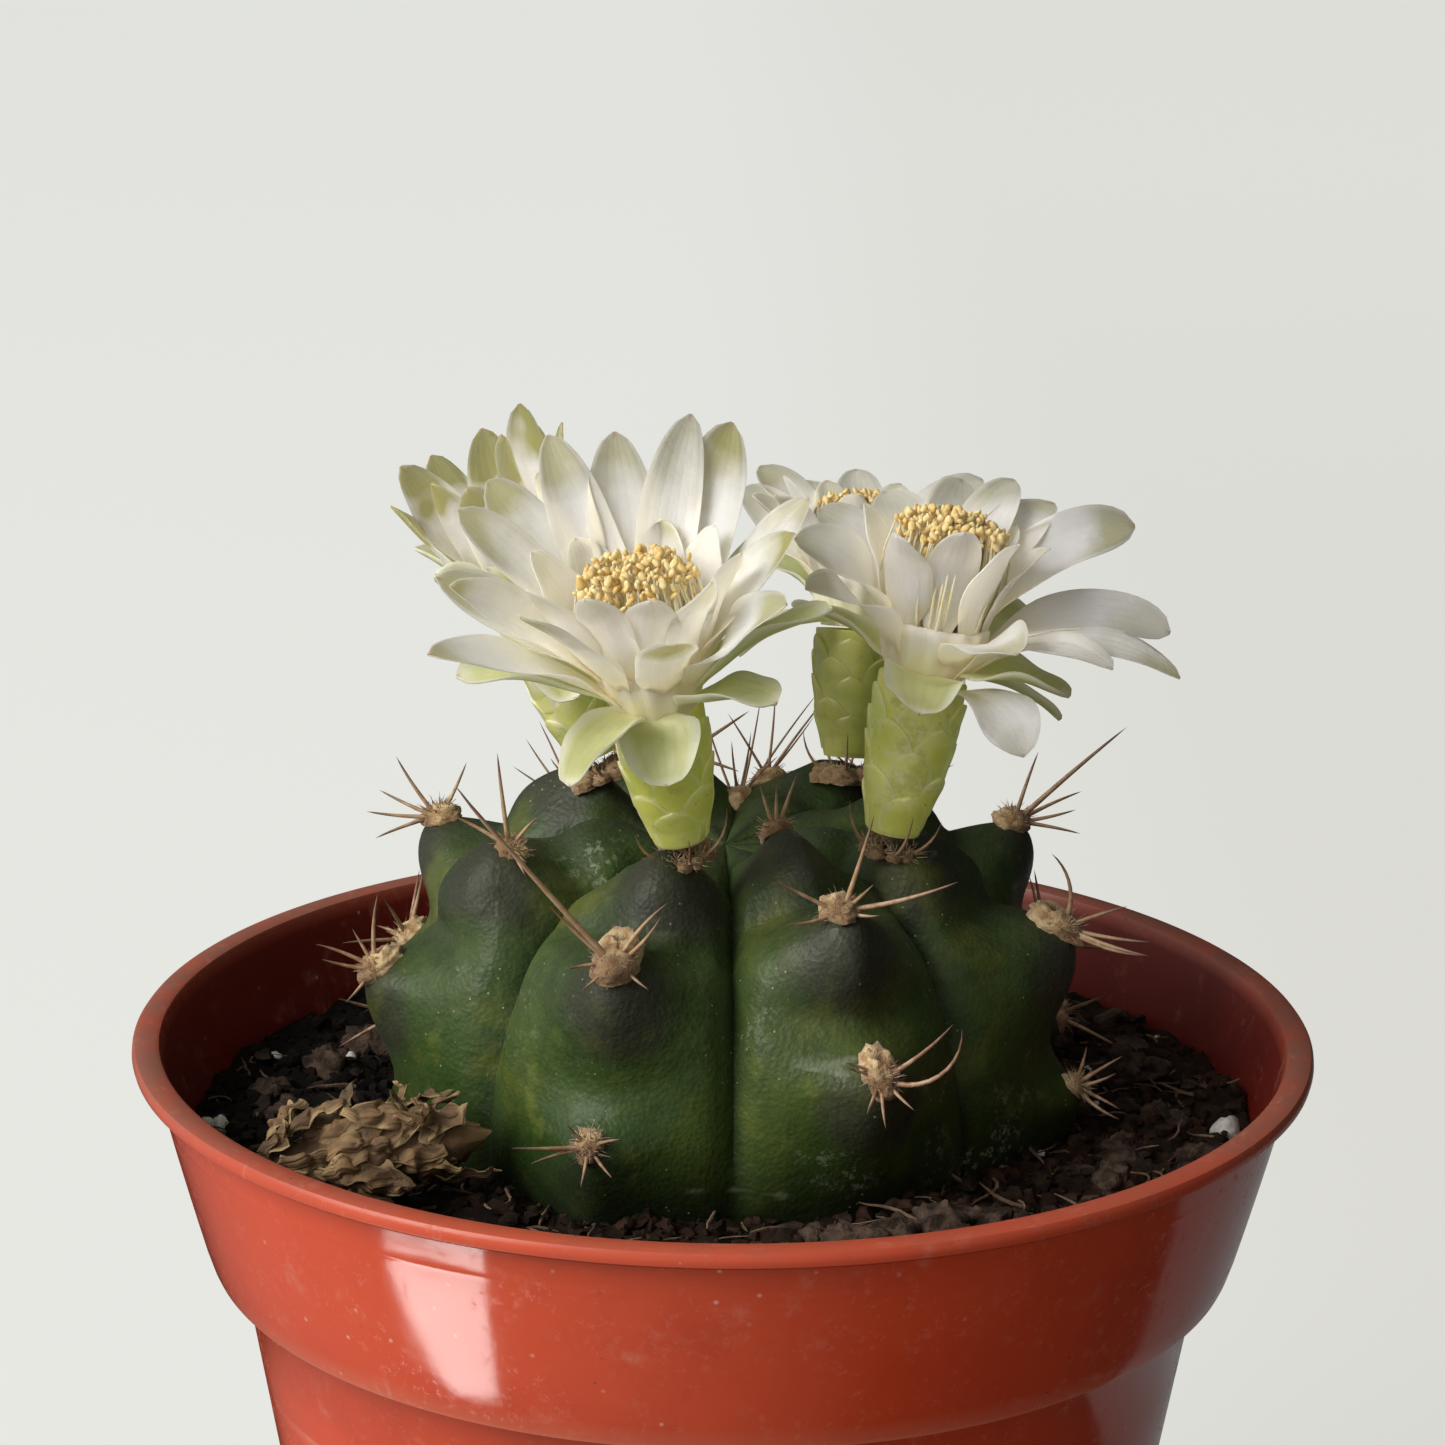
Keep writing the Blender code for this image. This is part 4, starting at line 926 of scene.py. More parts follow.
def crest_at(arc):
    """Radius and height on the crest, and its outward normal's two parts."""
    arcs, radii, heights = CREST
    before, after = np.maximum(arc - 1.1, 0), np.minimum(arc + 1.1, CREST_LENGTH)
    run = np.interp(after, arcs, radii) - np.interp(before, arcs, radii)
    rise = np.interp(after, arcs, heights) - np.interp(before, arcs, heights)
    length = np.hypot(run, rise)
    return np.interp(arc, arcs, radii), np.interp(arc, arcs, heights), -rise / length, run / length


def rib_halves(i):
    """Half the way, in degrees, from a rib's crest to the crests before and after it."""
    ribs = len(RIB_AZIMUTHS)
    before = RIB_AZIMUTHS[i - 1] - (360 if i == 0 else 0)
    after = RIB_AZIMUTHS[(i + 1) % ribs] + (360 if i == ribs - 1 else 0)
    return (RIB_AZIMUTHS[i] - before) / 2, (after - RIB_AZIMUTHS[i]) / 2


def rib_phase(azimuth):
    """How far an azimuth lies from its rib's crest: 0 on the crest, 1 in the furrows beside it."""
    found = np.ones_like(np.asarray(azimuth, float))
    for i, crest in enumerate(RIB_AZIMUTHS):
        turn = (azimuth - crest + 180) % 360 - 180
        before, after = rib_halves(i)
        phase = np.abs(turn) / np.where(turn > 0, after, before)
        found = np.where(phase < found, phase, found)
    return found


def areole_places():
    places = [(RIB_AZIMUTHS[spec[0]] + spec[1], spec[2]) for spec in AREOLES.values()]
    places += [(RIB_AZIMUTHS[rib], arc) for rib, arc in PLAIN_AREOLES]
    places += [(RIB_AZIMUTHS[rib] + turn, arc) for rib, turn, arc in (b["at"] for b in BLOOMS.values())]
    return places


AREOLE_PLACES = areole_places()


def chins(azimuth, arc):
    """The bulge under each areole with its nose, the ledge over it, and a mask of the dark skin there."""
    radius = crest_at(arc)[0]
    lift = np.zeros(np.broadcast(azimuth, arc).shape)
    shade = np.zeros_like(lift)
    for centre, place in AREOLE_PLACES:
        across = np.radians((azimuth - centre + 180) % 360 - 180) * radius
        size = min(1, 0.35 + place / 45)
        near = np.exp(-((across / (CHIN_WIDTH * size)) ** 2))
        wide = np.exp(-((across / (LEDGE_WIDTH * size)) ** 4))
        nose = np.exp(-((across / NOSE_WIDTH) ** 2))
        below = arc - place - CHIN_BELOW_AREOLE
        below = np.exp(-((below / np.where(below > 0, CHIN_FALL, CHIN_RISE)) ** 2))
        above = np.exp(-(((place - LEDGE_ABOVE_AREOLE - arc) / LEDGE_LENGTH) ** 2))
        ledge = wide * LEDGE_DEPTH * above * min(1, max(0, (LEDGE_LAST_ARC - place) / LEDGE_FADE))
        lift += size * ((near * CHIN_HEIGHT + nose * NOSE_HEIGHT) * below - ledge)
        down = (arc - place - CHIN_SHADE_BELOW) / CHIN_SHADE_LENGTH
        dark = np.exp(-((across / CHIN_SHADE_WIDTH) ** 2) - down**2)
        shade = np.maximum(shade, dark * (1.0 if place < CHIN_SHADE_LAST_ARC else 0.5))
    return lift, shade


def furrow(azimuth, arc):
    phase = rib_phase(azimuth)
    depth = np.interp(arc, FURROW_ARCS, FURROW_DEPTHS)
    keel = np.interp(arc, KEEL_ARCS, KEEL_POWERS)
    return depth * (0.75 * phase**keel + 0.25 * np.maximum(0, (phase - 0.8) / 0.2) ** 1.2)


def body_points(azimuth, arc):
    azimuth, arc = np.broadcast_arrays(np.asarray(azimuth, float), np.asarray(arc, float))
    radius, height, out, up = crest_at(arc)
    fade = np.minimum(1, (CREST_LENGTH - arc) / 20)
    lift = fade * (chins(azimuth, arc)[0] - furrow(azimuth, arc))
    reach = np.maximum(radius + out * lift, 0)
    return ways(azimuth) * reach[..., None] + UP * (height + up * lift)[..., None]


def surface_frame(azimuth, arc):
    """A point of the skin with its outward normal, the way to the crown and the way to greater azimuths."""
    step = 40 / max(float(crest_at(arc)[0]), 4)
    around = ((0, 0), (0, -0.6), (0, 0.6), (step, 0), (-step, 0))
    found = [Vector(body_points(azimuth + turn, arc + run)) for turn, run in around]
    point, higher, lower, right, left = found
    up = (higher - lower).normalized()
    side = (right - left).normalized()
    normal = side.cross(up).normalized()
    if normal.dot(direction(azimuth) + Vector((0, 0, 1))) < 0:
        normal = -normal
    side = up.cross(normal).normalized()
    return point, normal, up, side


def make_skin():
    azimuths = []
    half = COLUMNS_PER_RIB // 2
    for i, crest in enumerate(RIB_AZIMUTHS):
        before, after = rib_halves(i)
        azimuths += [crest - before * (1 - k / half) for k in range(half)]
        azimuths += [crest + after * k / half for k in range(half)]
    fine = np.arange(BODY_ROW_STEP, BODY_FINE_ARC, BODY_ROW_STEP)
    arcs = np.concatenate([fine, np.arange(BODY_FINE_ARC, CREST_LENGTH - 1, BODY_COARSE_STEP)])
    across, down = np.meshgrid(np.array(azimuths), arcs[::-1])
    phase = rib_phase(across)
    ridge = np.exp(-((phase / 0.5) ** 2)) * smooth(44, 30, down)
    pile = Pile("chin", "deep", "ridge", "low", "foot")
    pile.add(
        *capped(body_points(across, down), body_points(0, CREST_LENGTH), body_points(0, 0)),
        chin=np.append(chins(across, down)[1].ravel(), [0, 0]),
        # Where the painted shade of the furrow bottoms goes.
        deep=np.append(smooth(0.90, 1.0, phase).ravel(), [0, 1]),
        ridge=np.append(ridge.ravel(), [0, 1]),
        low=np.append(smooth(32, 50, down).ravel(), [1, 0]),
        foot=np.append(smooth(47, 58, down).ravel(), [1, 0]),
    )
    pile.piece("body_skin", skin_look(), "cactus_skin", "cactus_body", angle=60)


def seen_way(clock, lean):
    """The way of a spine from how it looks from the front: its clock angle and its lean to the viewer."""
    turn, near, tilt = (math.radians(a) for a in (clock, lean, VIEW_TILT))
    rise = Vector((0, math.sin(tilt), math.cos(tilt)))
    facing = Vector((0, -math.cos(tilt), math.sin(tilt)))
    flat = Vector((math.sin(turn), 0, 0)) + rise * math.cos(turn)
    return flat * math.cos(near) + facing * math.sin(near)


def add_spine(pile, root, clock, lean, length, curl, radius, tint, way_of):
    """A slender curved horn: its clock angle turns by curl from its root to its tip."""
    place = Vector(root)
    centres = [place.copy()]
    for k in range(1, SPINE_STEPS):
        share = (k - 0.5) / (SPINE_STEPS - 1)
        place = place + way_of(clock + curl * share, lean) * length / (SPINE_STEPS - 1)
        centres.append(place.copy())
    shares = np.linspace(0, 1, SPINE_STEPS)
    radii = radius * (1.15 - 0.35 * shares) * np.sqrt(np.maximum(1 - shares**2.2, 0.002))
    points, faces = tube(centres, radii, SPINE_SIDES, way_of(clock + 90, 0))
    pile.add(points, faces, tip=spread(shares, SPINE_SIDES, 0, 1), tint=tint)


def spine_root(place, way, radius):
    """Where a spine leaves its wool: off the middle, the way that the spine goes."""
    point, normal = place[:2]
    flat = way - normal * way.dot(normal)
    return point + normal * radius * 0.15 + flat * radius * 0.3


def add_wool(pile, place, radius, scar, seed):
    """A woolly cushion, long along the rib, with a scar near its top where a bloom once sat."""
    point, normal, up, side = place
    local, _ = ball(np.linspace(0.02, math.pi * 0.62, WOOL_ROWS), WOOL_COLUMNS)
    local = local * np.array([1.6 if scar else 1.2, 1, 0.85])
    bumps = 1 + 0.22 * wobble(local, 2.4, seed) + 0.18 * wobble(local, 6.0, seed + 5)
    if scar:
        above = local[..., 0] - SCAR_ABOVE
        hollow = np.exp(-((above / 0.28) ** 2) - (local[..., 1] / 0.26) ** 2)
        ring = np.exp(-(((np.hypot(above, local[..., 1]) - 0.5) / 0.2) ** 2))
        bumps = bumps - 0.42 * hollow + 0.12 * ring
    local = local * bumps[..., None] * radius
    centre = Vector(point) + up * radius * (0.35 if scar else 0.1)
    points = local @ np.array([list(up), list(side), list(normal)]) + np.array(centre)
    if scar:
        foot = np.maximum(smooth(0.35, -0.9, local[..., 0] / radius), 2.0 * hollow)
    else:
        foot = smooth(0.6, -0.6, local[..., 0] / radius)
    caps = fan(np.arange(WOOL_COLUMNS), WOOL_ROWS * WOOL_COLUMNS)
    top = np.array(centre) + np.array(normal) * radius * 0.85 * bumps[0].mean()
    faces = grid_faces(WOOL_ROWS, WOOL_COLUMNS, True)[:, ::-1]
    points = np.concatenate([points.reshape(-1, 3), [top]])
    pile.add(points, (faces, caps), foot=np.append(foot.ravel(), foot[0].mean()))


def add_hairs(pile, place, radius, count, draw):
    """Short stiff hairs that stand out of the wool."""
    point, normal, up, side = place
    for _ in range(count):
        turn = draw.uniform(0, 2 * math.pi)
        tilt = math.radians(draw.uniform(15, 95))
        flat = up * math.cos(turn) + side * math.sin(turn)
        way = normal * math.cos(tilt) + flat * math.sin(tilt)
        root = Vector(point) + flat * radius * math.sin(tilt) * 0.8
        root = root + normal * radius * (0.2 + 0.5 * math.cos(tilt))
        reach = draw.uniform(0.5, 1.3)
        bend = Vector([draw.uniform(-0.35, 0.35) for _ in range(3)]) * reach
        centres = [root, root + way * reach * 0.5 + bend * 0.3, root + way * reach + bend]
        points, faces = tube(centres, HAIR_RADII, 3, side if abs(way.dot(side)) < 0.8 else up)
        pile.add(points, faces, foot=draw.uniform(0.2, 1))


def add_seat(wool, hairs, spines, place, size, seed, draw):
    """The brown wool that a bloom's tube stands in, with short spines round it."""
    turn = place.to_3x3()
    up, side, normal = (turn @ Vector(way) for way in ((0, 1, 0), (1, 0, 0), (0, 0, 1)))
    centre = place.translation
    for k in range(SEAT_LUMPS):
        way = direction(360 * k / SEAT_LUMPS + draw.uniform(-15, 15))
        lump_place = (centre + turn @ (way * SEAT_REACH) - normal * (SEAT_HEIGHT + 0.7), normal, up, side)
        add_wool(wool, lump_place, size * draw.uniform(0.8, 1.3), False, seed + k)
        add_hairs(hairs, lump_place, 1.3, SEAT_HAIRS, draw)
    shares = np.linspace(0, 1, len(SEAT_SPINE_RADII))
    for k in range(SEAT_SPINES):
        out = turn @ direction(360 * k / SEAT_SPINES + draw.uniform(-14, 14))
        root = centre + out * 2.6 - normal * SEAT_HEIGHT
        length = draw.uniform(3.0, 6.0)
        centres = []
        for share in shares:
            rise = math.radians(35 + 25 * share)
            centres.append(root + (out * math.cos(rise) + normal * math.sin(rise)) * length * share)
        points, faces = tube(centres, TUFT_SPINE_RADIUS * np.array(SEAT_SPINE_RADII), 7, out.cross(normal))
        spines.add(points, faces, tip=spread(shares, 7, 0, 1), tint=draw.random())


def make_areoles():
    """Wool and spines on every areole, those of the front as listed and those of the back fanned out."""
    draw = random.Random(SPINE_SEED)
    wool = Pile("foot")
    hairs = Pile("foot")
    spines = Pile("tip", "tint")
    seed = 0
    for rib, turn, arc, radius, scar, entries in AREOLES.values():
        place = surface_frame(RIB_AZIMUTHS[rib] + turn, arc)
        seed += 1
        add_wool(wool, place, radius * (1.18 if scar else 1.0), scar, seed)
        add_hairs(hairs, place, radius, AREOLE_HAIRS, draw)
        for clock, lean, length, curl in entries:
            root = spine_root(place, seen_way(clock, lean), radius)
            thick = SPINE_RADIUS * min(1.25, 0.78 + length / 34)
            tint = draw.uniform(0, 0.6) + (0.4 if arc > LOW_ARC else 0)
            add_spine(spines, root, clock, lean, length + radius * 0.3, curl, thick, tint, seen_way)
    for azimuth, arc, radius, entries in CROWN_TUFTS:
        place = surface_frame(azimuth, arc)
        seed += 1
        add_wool(wool, place, radius, False, seed)
        add_hairs(hairs, place, radius, TUFT_HAIRS, draw)
        for clock, lean, length, curl in entries:
            root = place[0] + place[1] * radius * 0.3
            tint = draw.uniform(0.2, 0.8)
            add_spine(spines, root, clock, lean, length, curl, TUFT_SPINE_RADIUS, tint, seen_way)
    for rib, arc in PLAIN_AREOLES:
        seed += 1
        place = surface_frame(RIB_AZIMUTHS[rib], arc)
        add_wool(wool, place, PLAIN_WOOL * 0.95, seed % 2 == 0, seed)
        add_hairs(hairs, place, PLAIN_WOOL, PLAIN_HAIRS, draw)
        add_plain_spines(spines, place, draw)
    for bloom in BLOOMS.values():
        seed += 1
        add_seat(wool, hairs, spines, bloom_matrix(bloom), bloom["wool"], seed, draw)
    tan = plain_look("hair_tan", (0.25, 0.15, 0.09), (0.55, 0.42, 0.28), 800, 0.8)
    wool.piece("areole_wool", wool_look(), "cactus_skin", "cactus_body", angle=80)
    hairs.piece("areole_hairs", tan, "cactus_skin", "cactus_body")
    spines.piece("spines", spine_look(), "cactus_skin", "cactus_body", angle=80)


def add_plain_spines(spines, place, draw):
    """A fan of spines, centred on the way to the crown."""
    def fanned(clock, lift):
        angle, rise = math.radians(clock), math.radians(lift)
        flat = place[3] * math.sin(angle) + place[2] * math.cos(angle)
        return flat * math.cos(rise) + place[1] * math.sin(rise)

    start = draw.uniform(-PLAIN_TURN, PLAIN_TURN)
    for k in range(PLAIN_SPINES):
        clock = start + (k / (PLAIN_SPINES - 1) - 0.5) * PLAIN_FAN
        lift = draw.uniform(*PLAIN_LIFT)
        length = draw.uniform(*PLAIN_SPINE_LENGTH)
        root = spine_root(place, fanned(clock, lift), PLAIN_WOOL)
        curl = draw.uniform(-18, 18)
        add_spine(spines, root, clock, lift, length, curl, SPINE_RADIUS, draw.random(), fanned)


# Soil

def soil_height(x, y):
    """The soil's top: uneven, lower behind the plant and banked up at the front right."""
    place = Vector((x, y, 0))
    tilt = -1.3 * y / 50 + 0.5 * x / 50
    coarse = noise.noise(place * 0.09) * SOIL_RELIEF
    crumbs = noise.noise(place * 0.27 + Vector((7, 3, 0))) * SOIL_RELIEF * 0.7
    return SOIL_LEVEL + tilt + coarse + crumbs


def rough_soil_height(x, y):
    place = Vector((x, y, 0))
    lumps = noise.fractal(place * 0.32, 0.9, 2.1, 3) * 0.9
    grit = noise.fractal(place * 1.3 + Vector((3, 9, 0)), 0.7, 2.2, 3) * 0.5
    return soil_height(x, y) + lumps + grit


def make_soil():
    """The soil's rough top between the pot and the plant, on a plain body that fills the pot."""
    step = POT_HEIGHT - BAND_HEIGHT
    inset = math.cos(math.pi / SOLID_POT_SIDES)
    floor = WALL + GAP
    sides = [(0.5, floor)]
    for radius_height, height in ((floor, floor), (step, step + WALL), (step + 2 * WALL, step + 1.8 * WALL)):
        sides.append(((inner_wall_radius(radius_height) - GAP) * inset, height))
    wall = inner_wall_radius(SOIL_LEVEL) * inset - GAP
    out = ways(360 * np.arange(SOIL_COLUMNS) / SOIL_COLUMNS)
    rows = [out * radius + np.array([0, 0, height]) for radius, height in sides]
    for k in range(SOIL_ROWS):
        flat = out * (wall + (SOIL_INNER - wall) * k / (SOIL_ROWS - 1))
        heights = [rough_soil_height(x, y) for x, y, _ in flat.tolist()]
        rows.append(flat + UP * np.array(heights)[:, None])
    pile = Pile()
    pile.add(*capped(np.array(rows), (0, 0, floor), (0, 0, SOIL_LEVEL - 4)))
    look = plain_look("peat", (0.0030, 0.0016, 0.0009), (0.022, 0.011, 0.0055), 260, 0.95, 0.0, 0.0009, 0.85)
    pile.piece("soil_bed", look, "soil_peat", "soil", angle=180)


def soil_spot(draw, low_radius):
    """A place on the bare ring of soil between the plant and the pot."""
    azimuth = draw.uniform(0, 360)
    x, y, _ = direction(azimuth) * draw.uniform(low_radius, SOIL_OUTER)
    return x, y


def lump(draw, size, flatness, rows, columns, rough):
    """A rough lump: a small ball with uneven radii, stretched and turned at random."""
    local, _ = ball(np.linspace(0, math.pi, rows + 2)[1:-1], columns)
    uneven = 1 + np.array([[draw.uniform(-rough, rough) for _ in range(columns)] for _ in range(rows)])
    points, faces = capped(local * uneven[..., None], (0, 0, 1.0), (0, 0, -1.0), True)
    points = points * np.array([1, draw.uniform(0.55, 1), flatness]) * size
    return tumbled(points, draw, 0.7), faces


def on_soil(points, x, y, rise):
    return points + np.array([x, y, rough_soil_height(x, y) + rise])


def make_soil_bits():
    """Crumbs, bark, clods, pale grains and root threads on the soil."""
    draw = random.Random(SOIL_SEED)
    crumbs = Pile()
    for _ in range(CRUMBS):
        x, y = soil_spot(draw, CRUMB_INNER)
        size = 0.25 + 1.1 * draw.random() ** 3
        points, faces = lump(draw, size, draw.uniform(0.5, 0.9), 3, 6, 0.35)
        crumbs.add(on_soil(points, x, y, size * 0.2), faces)
    bark = Pile()
    for _ in range(BARK_CHIPS):
        x, y = soil_spot(draw, BARK_INNER)
        size = draw.uniform(0.8, 2.4)
        points, faces = lump(draw, size, draw.uniform(0.25, 0.5), 4, 8, 0.28)
        bark.add(on_soil(points, x, y, size * 0.15), faces)
    clods = Pile()
    for k, (x, y, size) in enumerate(CLODS):
        points, faces = lump(draw, size, 0.62, 17, 26, 0.0)
        swell = 1 + 0.60 * wobble(points, 1.1 / size, k) + 0.42 * wobble(points, 2.6 / size, k + 20)
        swell = swell + 0.22 * wobble(points, 7.0 / size, k + 40)
        clods.add(on_soil(points * swell[:, None], x, y, size * 0.3), faces)
    grit = Pile()
    spots = [(*soil_spot(draw, GRAIN_INNER), draw.uniform(0.4, 1.0)) for _ in range(LOOSE_GRAINS)]
    for x, y, size in (*GRAINS, *spots):
        points, faces = lump(draw, size, draw.uniform(0.7, 0.95), 6, 9, 0.16)
        grit.add(on_soil(points, x, y, size * 0.3), faces)
    fibres = Pile()
    for _ in range(ROOT_FIBRES):
        fibres.add(*root_fibre(draw))
    dark = plain_look(
        "peat_crumb", (0.006, 0.003, 0.0017), (0.042, 0.021, 0.011), 420, 0.95, 0.0, 0.0006, 0.85
    )
    brown = plain_look("bark", (0.014, 0.009, 0.006), (0.085, 0.055, 0.038), 300, 0.9, depth=0.0008, left_shadow=0.5)
    clod = plain_look("clod", (0.012, 0.007, 0.005), (0.100, 0.066, 0.048), 520, 0.95, depth=0.0012)
    pale = plain_look("perlite", (0.40, 0.38, 0.35), (0.72, 0.71, 0.68), 700, 0.8, depth=0.0004)
    thread = plain_look("root_fibre", (0.05, 0.028, 0.018), (0.20, 0.13, 0.085), 350, 0.9)
    crumbs.piece("soil_crumbs", dark, "soil_peat", "soil", angle=40)
    bark.piece("soil_bark", brown, "soil_peat", "soil", angle=30)
    clods.piece("soil_clods", clod, "soil_peat", "soil", angle=60)
    grit.piece("soil_perlite", pale, "soil_peat", "soil", angle=60)
    fibres.piece("soil_fibres", thread, "soil_peat", "soil")


def root_fibre(draw):
    """A thin thread that wanders over the soil and stays inside the pot."""
    x, y = soil_spot(draw, BARK_INNER)
    length = draw.uniform(2.0, 7.0)
    turn = draw.uniform(0, 360)
    place = Vector((x, y, rough_soil_height(x, y) + draw.uniform(0.0, 0.5)))
    centres = [place]
    rise = draw.uniform(-0.1, 0.45)
    for _ in range(6):
        turn += draw.uniform(-28, 28)
        rise += draw.uniform(-0.2, 0.1)
        place = place + (direction(turn) + Vector((0, 0, rise))) * length / 6
        if math.hypot(place.x, place.y) > SOIL_OUTER + 1:
            place = centres[-1] + Vector((0, 0, 0.2))
        centres.append(place)
    thick = draw.uniform(0.08, 0.22)
    return tube(centres, [thick * share for share in (0.7, 1, 1, 0.9, 0.8, 0.6, 0.3)], 5, (0, 0, 1))


# Blooms

def bloom_matrix(bloom):
    """The place of a bloom: +Z along its tube, which starts just above its seat, and -Y to its front."""
    rib, turn, arc = bloom["at"]
    point = surface_frame(RIB_AZIMUTHS[rib] + turn, arc)[0]
    lean_right, lean_back = (math.tan(math.radians(a)) for a in bloom["lean"])
    axis = Vector((lean_right, lean_back, 1)).normalized()
    turn = Vector((0, 0, 1)).rotation_difference(axis)
    return Matrix.Translation(point + axis * (SEAT_HEIGHT + GAP)) @ turn.to_matrix().to_4x4()


def placed(points, place):
    flat = np.asarray(points, float).reshape(-1, 3)
    return flat @ np.array(place.to_3x3()).T + np.array(place.translation)


def tepal_width(share, width, blunt, full):
    """A tepal is narrow at its root, at full width some way up, and narrows to a short point."""
    grow = 0.36 + 0.64 * smooth(0.0, full, share)
    power = 0.64 if blunt > 0.4 else 0.5
    tip = np.maximum(1 - np.maximum(0, (share - blunt) / (1 - blunt)) ** 2.1, 0) ** power
    return width / 2 * grow * (0.05 + 0.95 * tip)


def tepal(
    azimuth, lift, length, width, height, radius, bend, draw,
    cup=0.3, thickness=0.34, blunt=0.55, full=0.42, turn=0,
):
    """A curved blade on the solid's own centre line, cupped across, with a faint keel and an uneven rim.

    Blades at the sides turn their upper face to the front by up to `turn` degrees.
    """
    rows, columns = TEPAL_ROWS, TEPAL_COLUMNS
    shares = np.linspace(0, 1, rows) ** 0.9
    out = np.array(direction(azimuth))
    side = np.cross(UP, out)
    middles = (shares[1:] + shares[:-1]) / 2
    angles = np.radians(lift + bend * (0.5 - middles))
    onward = out * np.cos(angles)[:, None] + UP * np.sin(angles)[:, None]
    steps = onward * (np.diff(shares) * length)[:, None]
    centre = out * radius + UP * height + np.concatenate([[[0, 0, 0]], np.cumsum(steps, 0)])
    here = np.radians(lift + bend * (0.5 - shares))
    upper = UP * np.cos(here)[:, None] - out * np.sin(here)[:, None]
    half = tepal_width(shares, width, blunt, full)
    roll = math.radians(turn * math.sin(math.radians(azimuth))) * smooth(0.1, 0.8, shares)[:, None]
    side, upper = side * np.cos(roll) + upper * np.sin(roll), upper * np.cos(roll) - side * np.sin(roll)
    twist = draw.uniform(-0.34, 0.34)
    sway = draw.uniform(-0.09, 0.09) * length * shares**2
    x = np.linspace(-1, 1, columns)[None, :]
    s = shares[:, None]
    wave = 0.17 * np.sin(5 * s + draw.uniform(0, 6)) * x**3 + 0.09 * np.sin(11 * s + draw.uniform(0, 6)) * x
    rise = half[:, None] * (cup * (x**2 - 0.3) * smooth(0, 0.3, s) + wave) + half[:, None] * twist * s * x
    rise = rise - 0.12 * np.exp(-((x / 0.12) ** 2)) * smooth(0.0, 0.2, s) * (1 - s)
    ridges = 0.030 * np.cos(9 * math.pi * x) * smooth(0.05, 0.3, s) * smooth(1.0, 0.7, s)
    flat = half[:, None] * x + sway[:, None]
    top = centre[:, None] + side[:, None] * flat[..., None] + upper[:, None] * (rise + ridges)[..., None]
    depth = thickness * (1 - 0.55 * x**2) * (1 - 0.45 * s)
    bottom = top - upper[:, None] * depth[..., None]
    points, faces = slab(top, bottom)
    along, width_share = (np.tile(np.broadcast_to(share, (rows, columns)).ravel(), 2) for share in (s, x))
    return points, faces, along, width_share


def add_blade(pile, blade, place, tint):
    points, faces, along, across = blade
    pile.add(placed(points, place), (faces,), along=along, across=across, tint=tint)


def make_perianth(name, bloom, place, looks):
    """The throat, the sepals under it, a ring of long tepals and a ring of short ones over it."""
    draw = random.Random(name)
    size = bloom["scale"]
    foot = bloom["tube"] * size + GAP
    top = foot + THROAT_LENGTH * size
    bend = bloom["bend"]
    olive = bloom["olive"]
    white = Pile("along", "across", "tint")
    green = Pile("along", "across", "tint")
    add_throat(white, foot, top, size, place)
    rise = foot + SEPAL_RISE * size
    root = SEPAL_ROOT * size
    for azimuth, lift, length, width in bloom["sepals"]:
        blade = tepal(
            azimuth, lift, length, width * 1.04, rise, root, SEPAL_BEND, draw, 0.26, 0.6, 0.30, 0.30
        )
        add_blade(green, blade, place, draw.uniform(0, 1))
    root = OUTER_ROOT * size
    for azimuth, lift, length in bloom["outer"]:
        rise = foot + (OUTER_RISE + TEPAL_STAGGER * (lift - 45)) * size
        width = TEPAL_WIDTH * draw.uniform(0.94, 1.18) * size
        blade = tepal(azimuth, lift, length, width, rise, root, bend, draw, 0.26, turn=TEPAL_TURN)
        add_blade(white, blade, place, olive * draw.uniform(0.8, 1.6))
    rise = top - INNER_DROP * size
    root = (THROAT_RADIUS - INNER_INSET) * size
    for azimuth, lift, length in bloom["inner"]:
        blade = tepal(azimuth, lift, length, INNER_WIDTH * size, rise, root, bend * 0.6, draw, 0.24)
        add_blade(white, blade, place, olive * draw.uniform(0.2, 1.1))
    white.piece(f"{name}_petals", looks["white"], "tepal_white", f"bloom_{name}_tepals", angle=80)
    green.piece(f"{name}_sepals", looks["green"], "tepal_white", f"bloom_{name}_tepals", angle=80)


def add_throat(pile, foot, top, size, place):
    """The funnel where the tepals meet: fluted outside, hollow inside."""
    height = top - foot
    points = turned([(r * size * 0.97, foot + z * height) for r, z, _ in THROAT_PROFILE], THROAT_SIDES)
    round_it = 2 * math.pi * np.arange(THROAT_SIDES) / THROAT_SIDES
    points[..., :2] *= (1 + 0.025 * np.cos(2 * THROAT_FLUTES * round_it))[None, :, None]
    points, faces = capped(points, (0, 0, foot), (0, 0, foot + THROAT_PROFILE[-1][1] * height))
    along = spread([share for _, _, share in THROAT_PROFILE], THROAT_SIDES, 0, 0)
    across = np.append(np.tile(np.cos(THROAT_FLUTES * round_it), len(THROAT_PROFILE)), [0, 0])
    pile.add(placed(points, place), faces, along=along, across=across * 0.6, tint=0.0)


def tube_radius(height, bloom):
    """The tube's radius before the bloom's own scale."""
    heights = [bloom["tube"] * k / (len(TUBE_RADII) - 1) for k in range(len(TUBE_RADII))]
    return np.interp(height, heights, TUBE_RADII) * 0.97


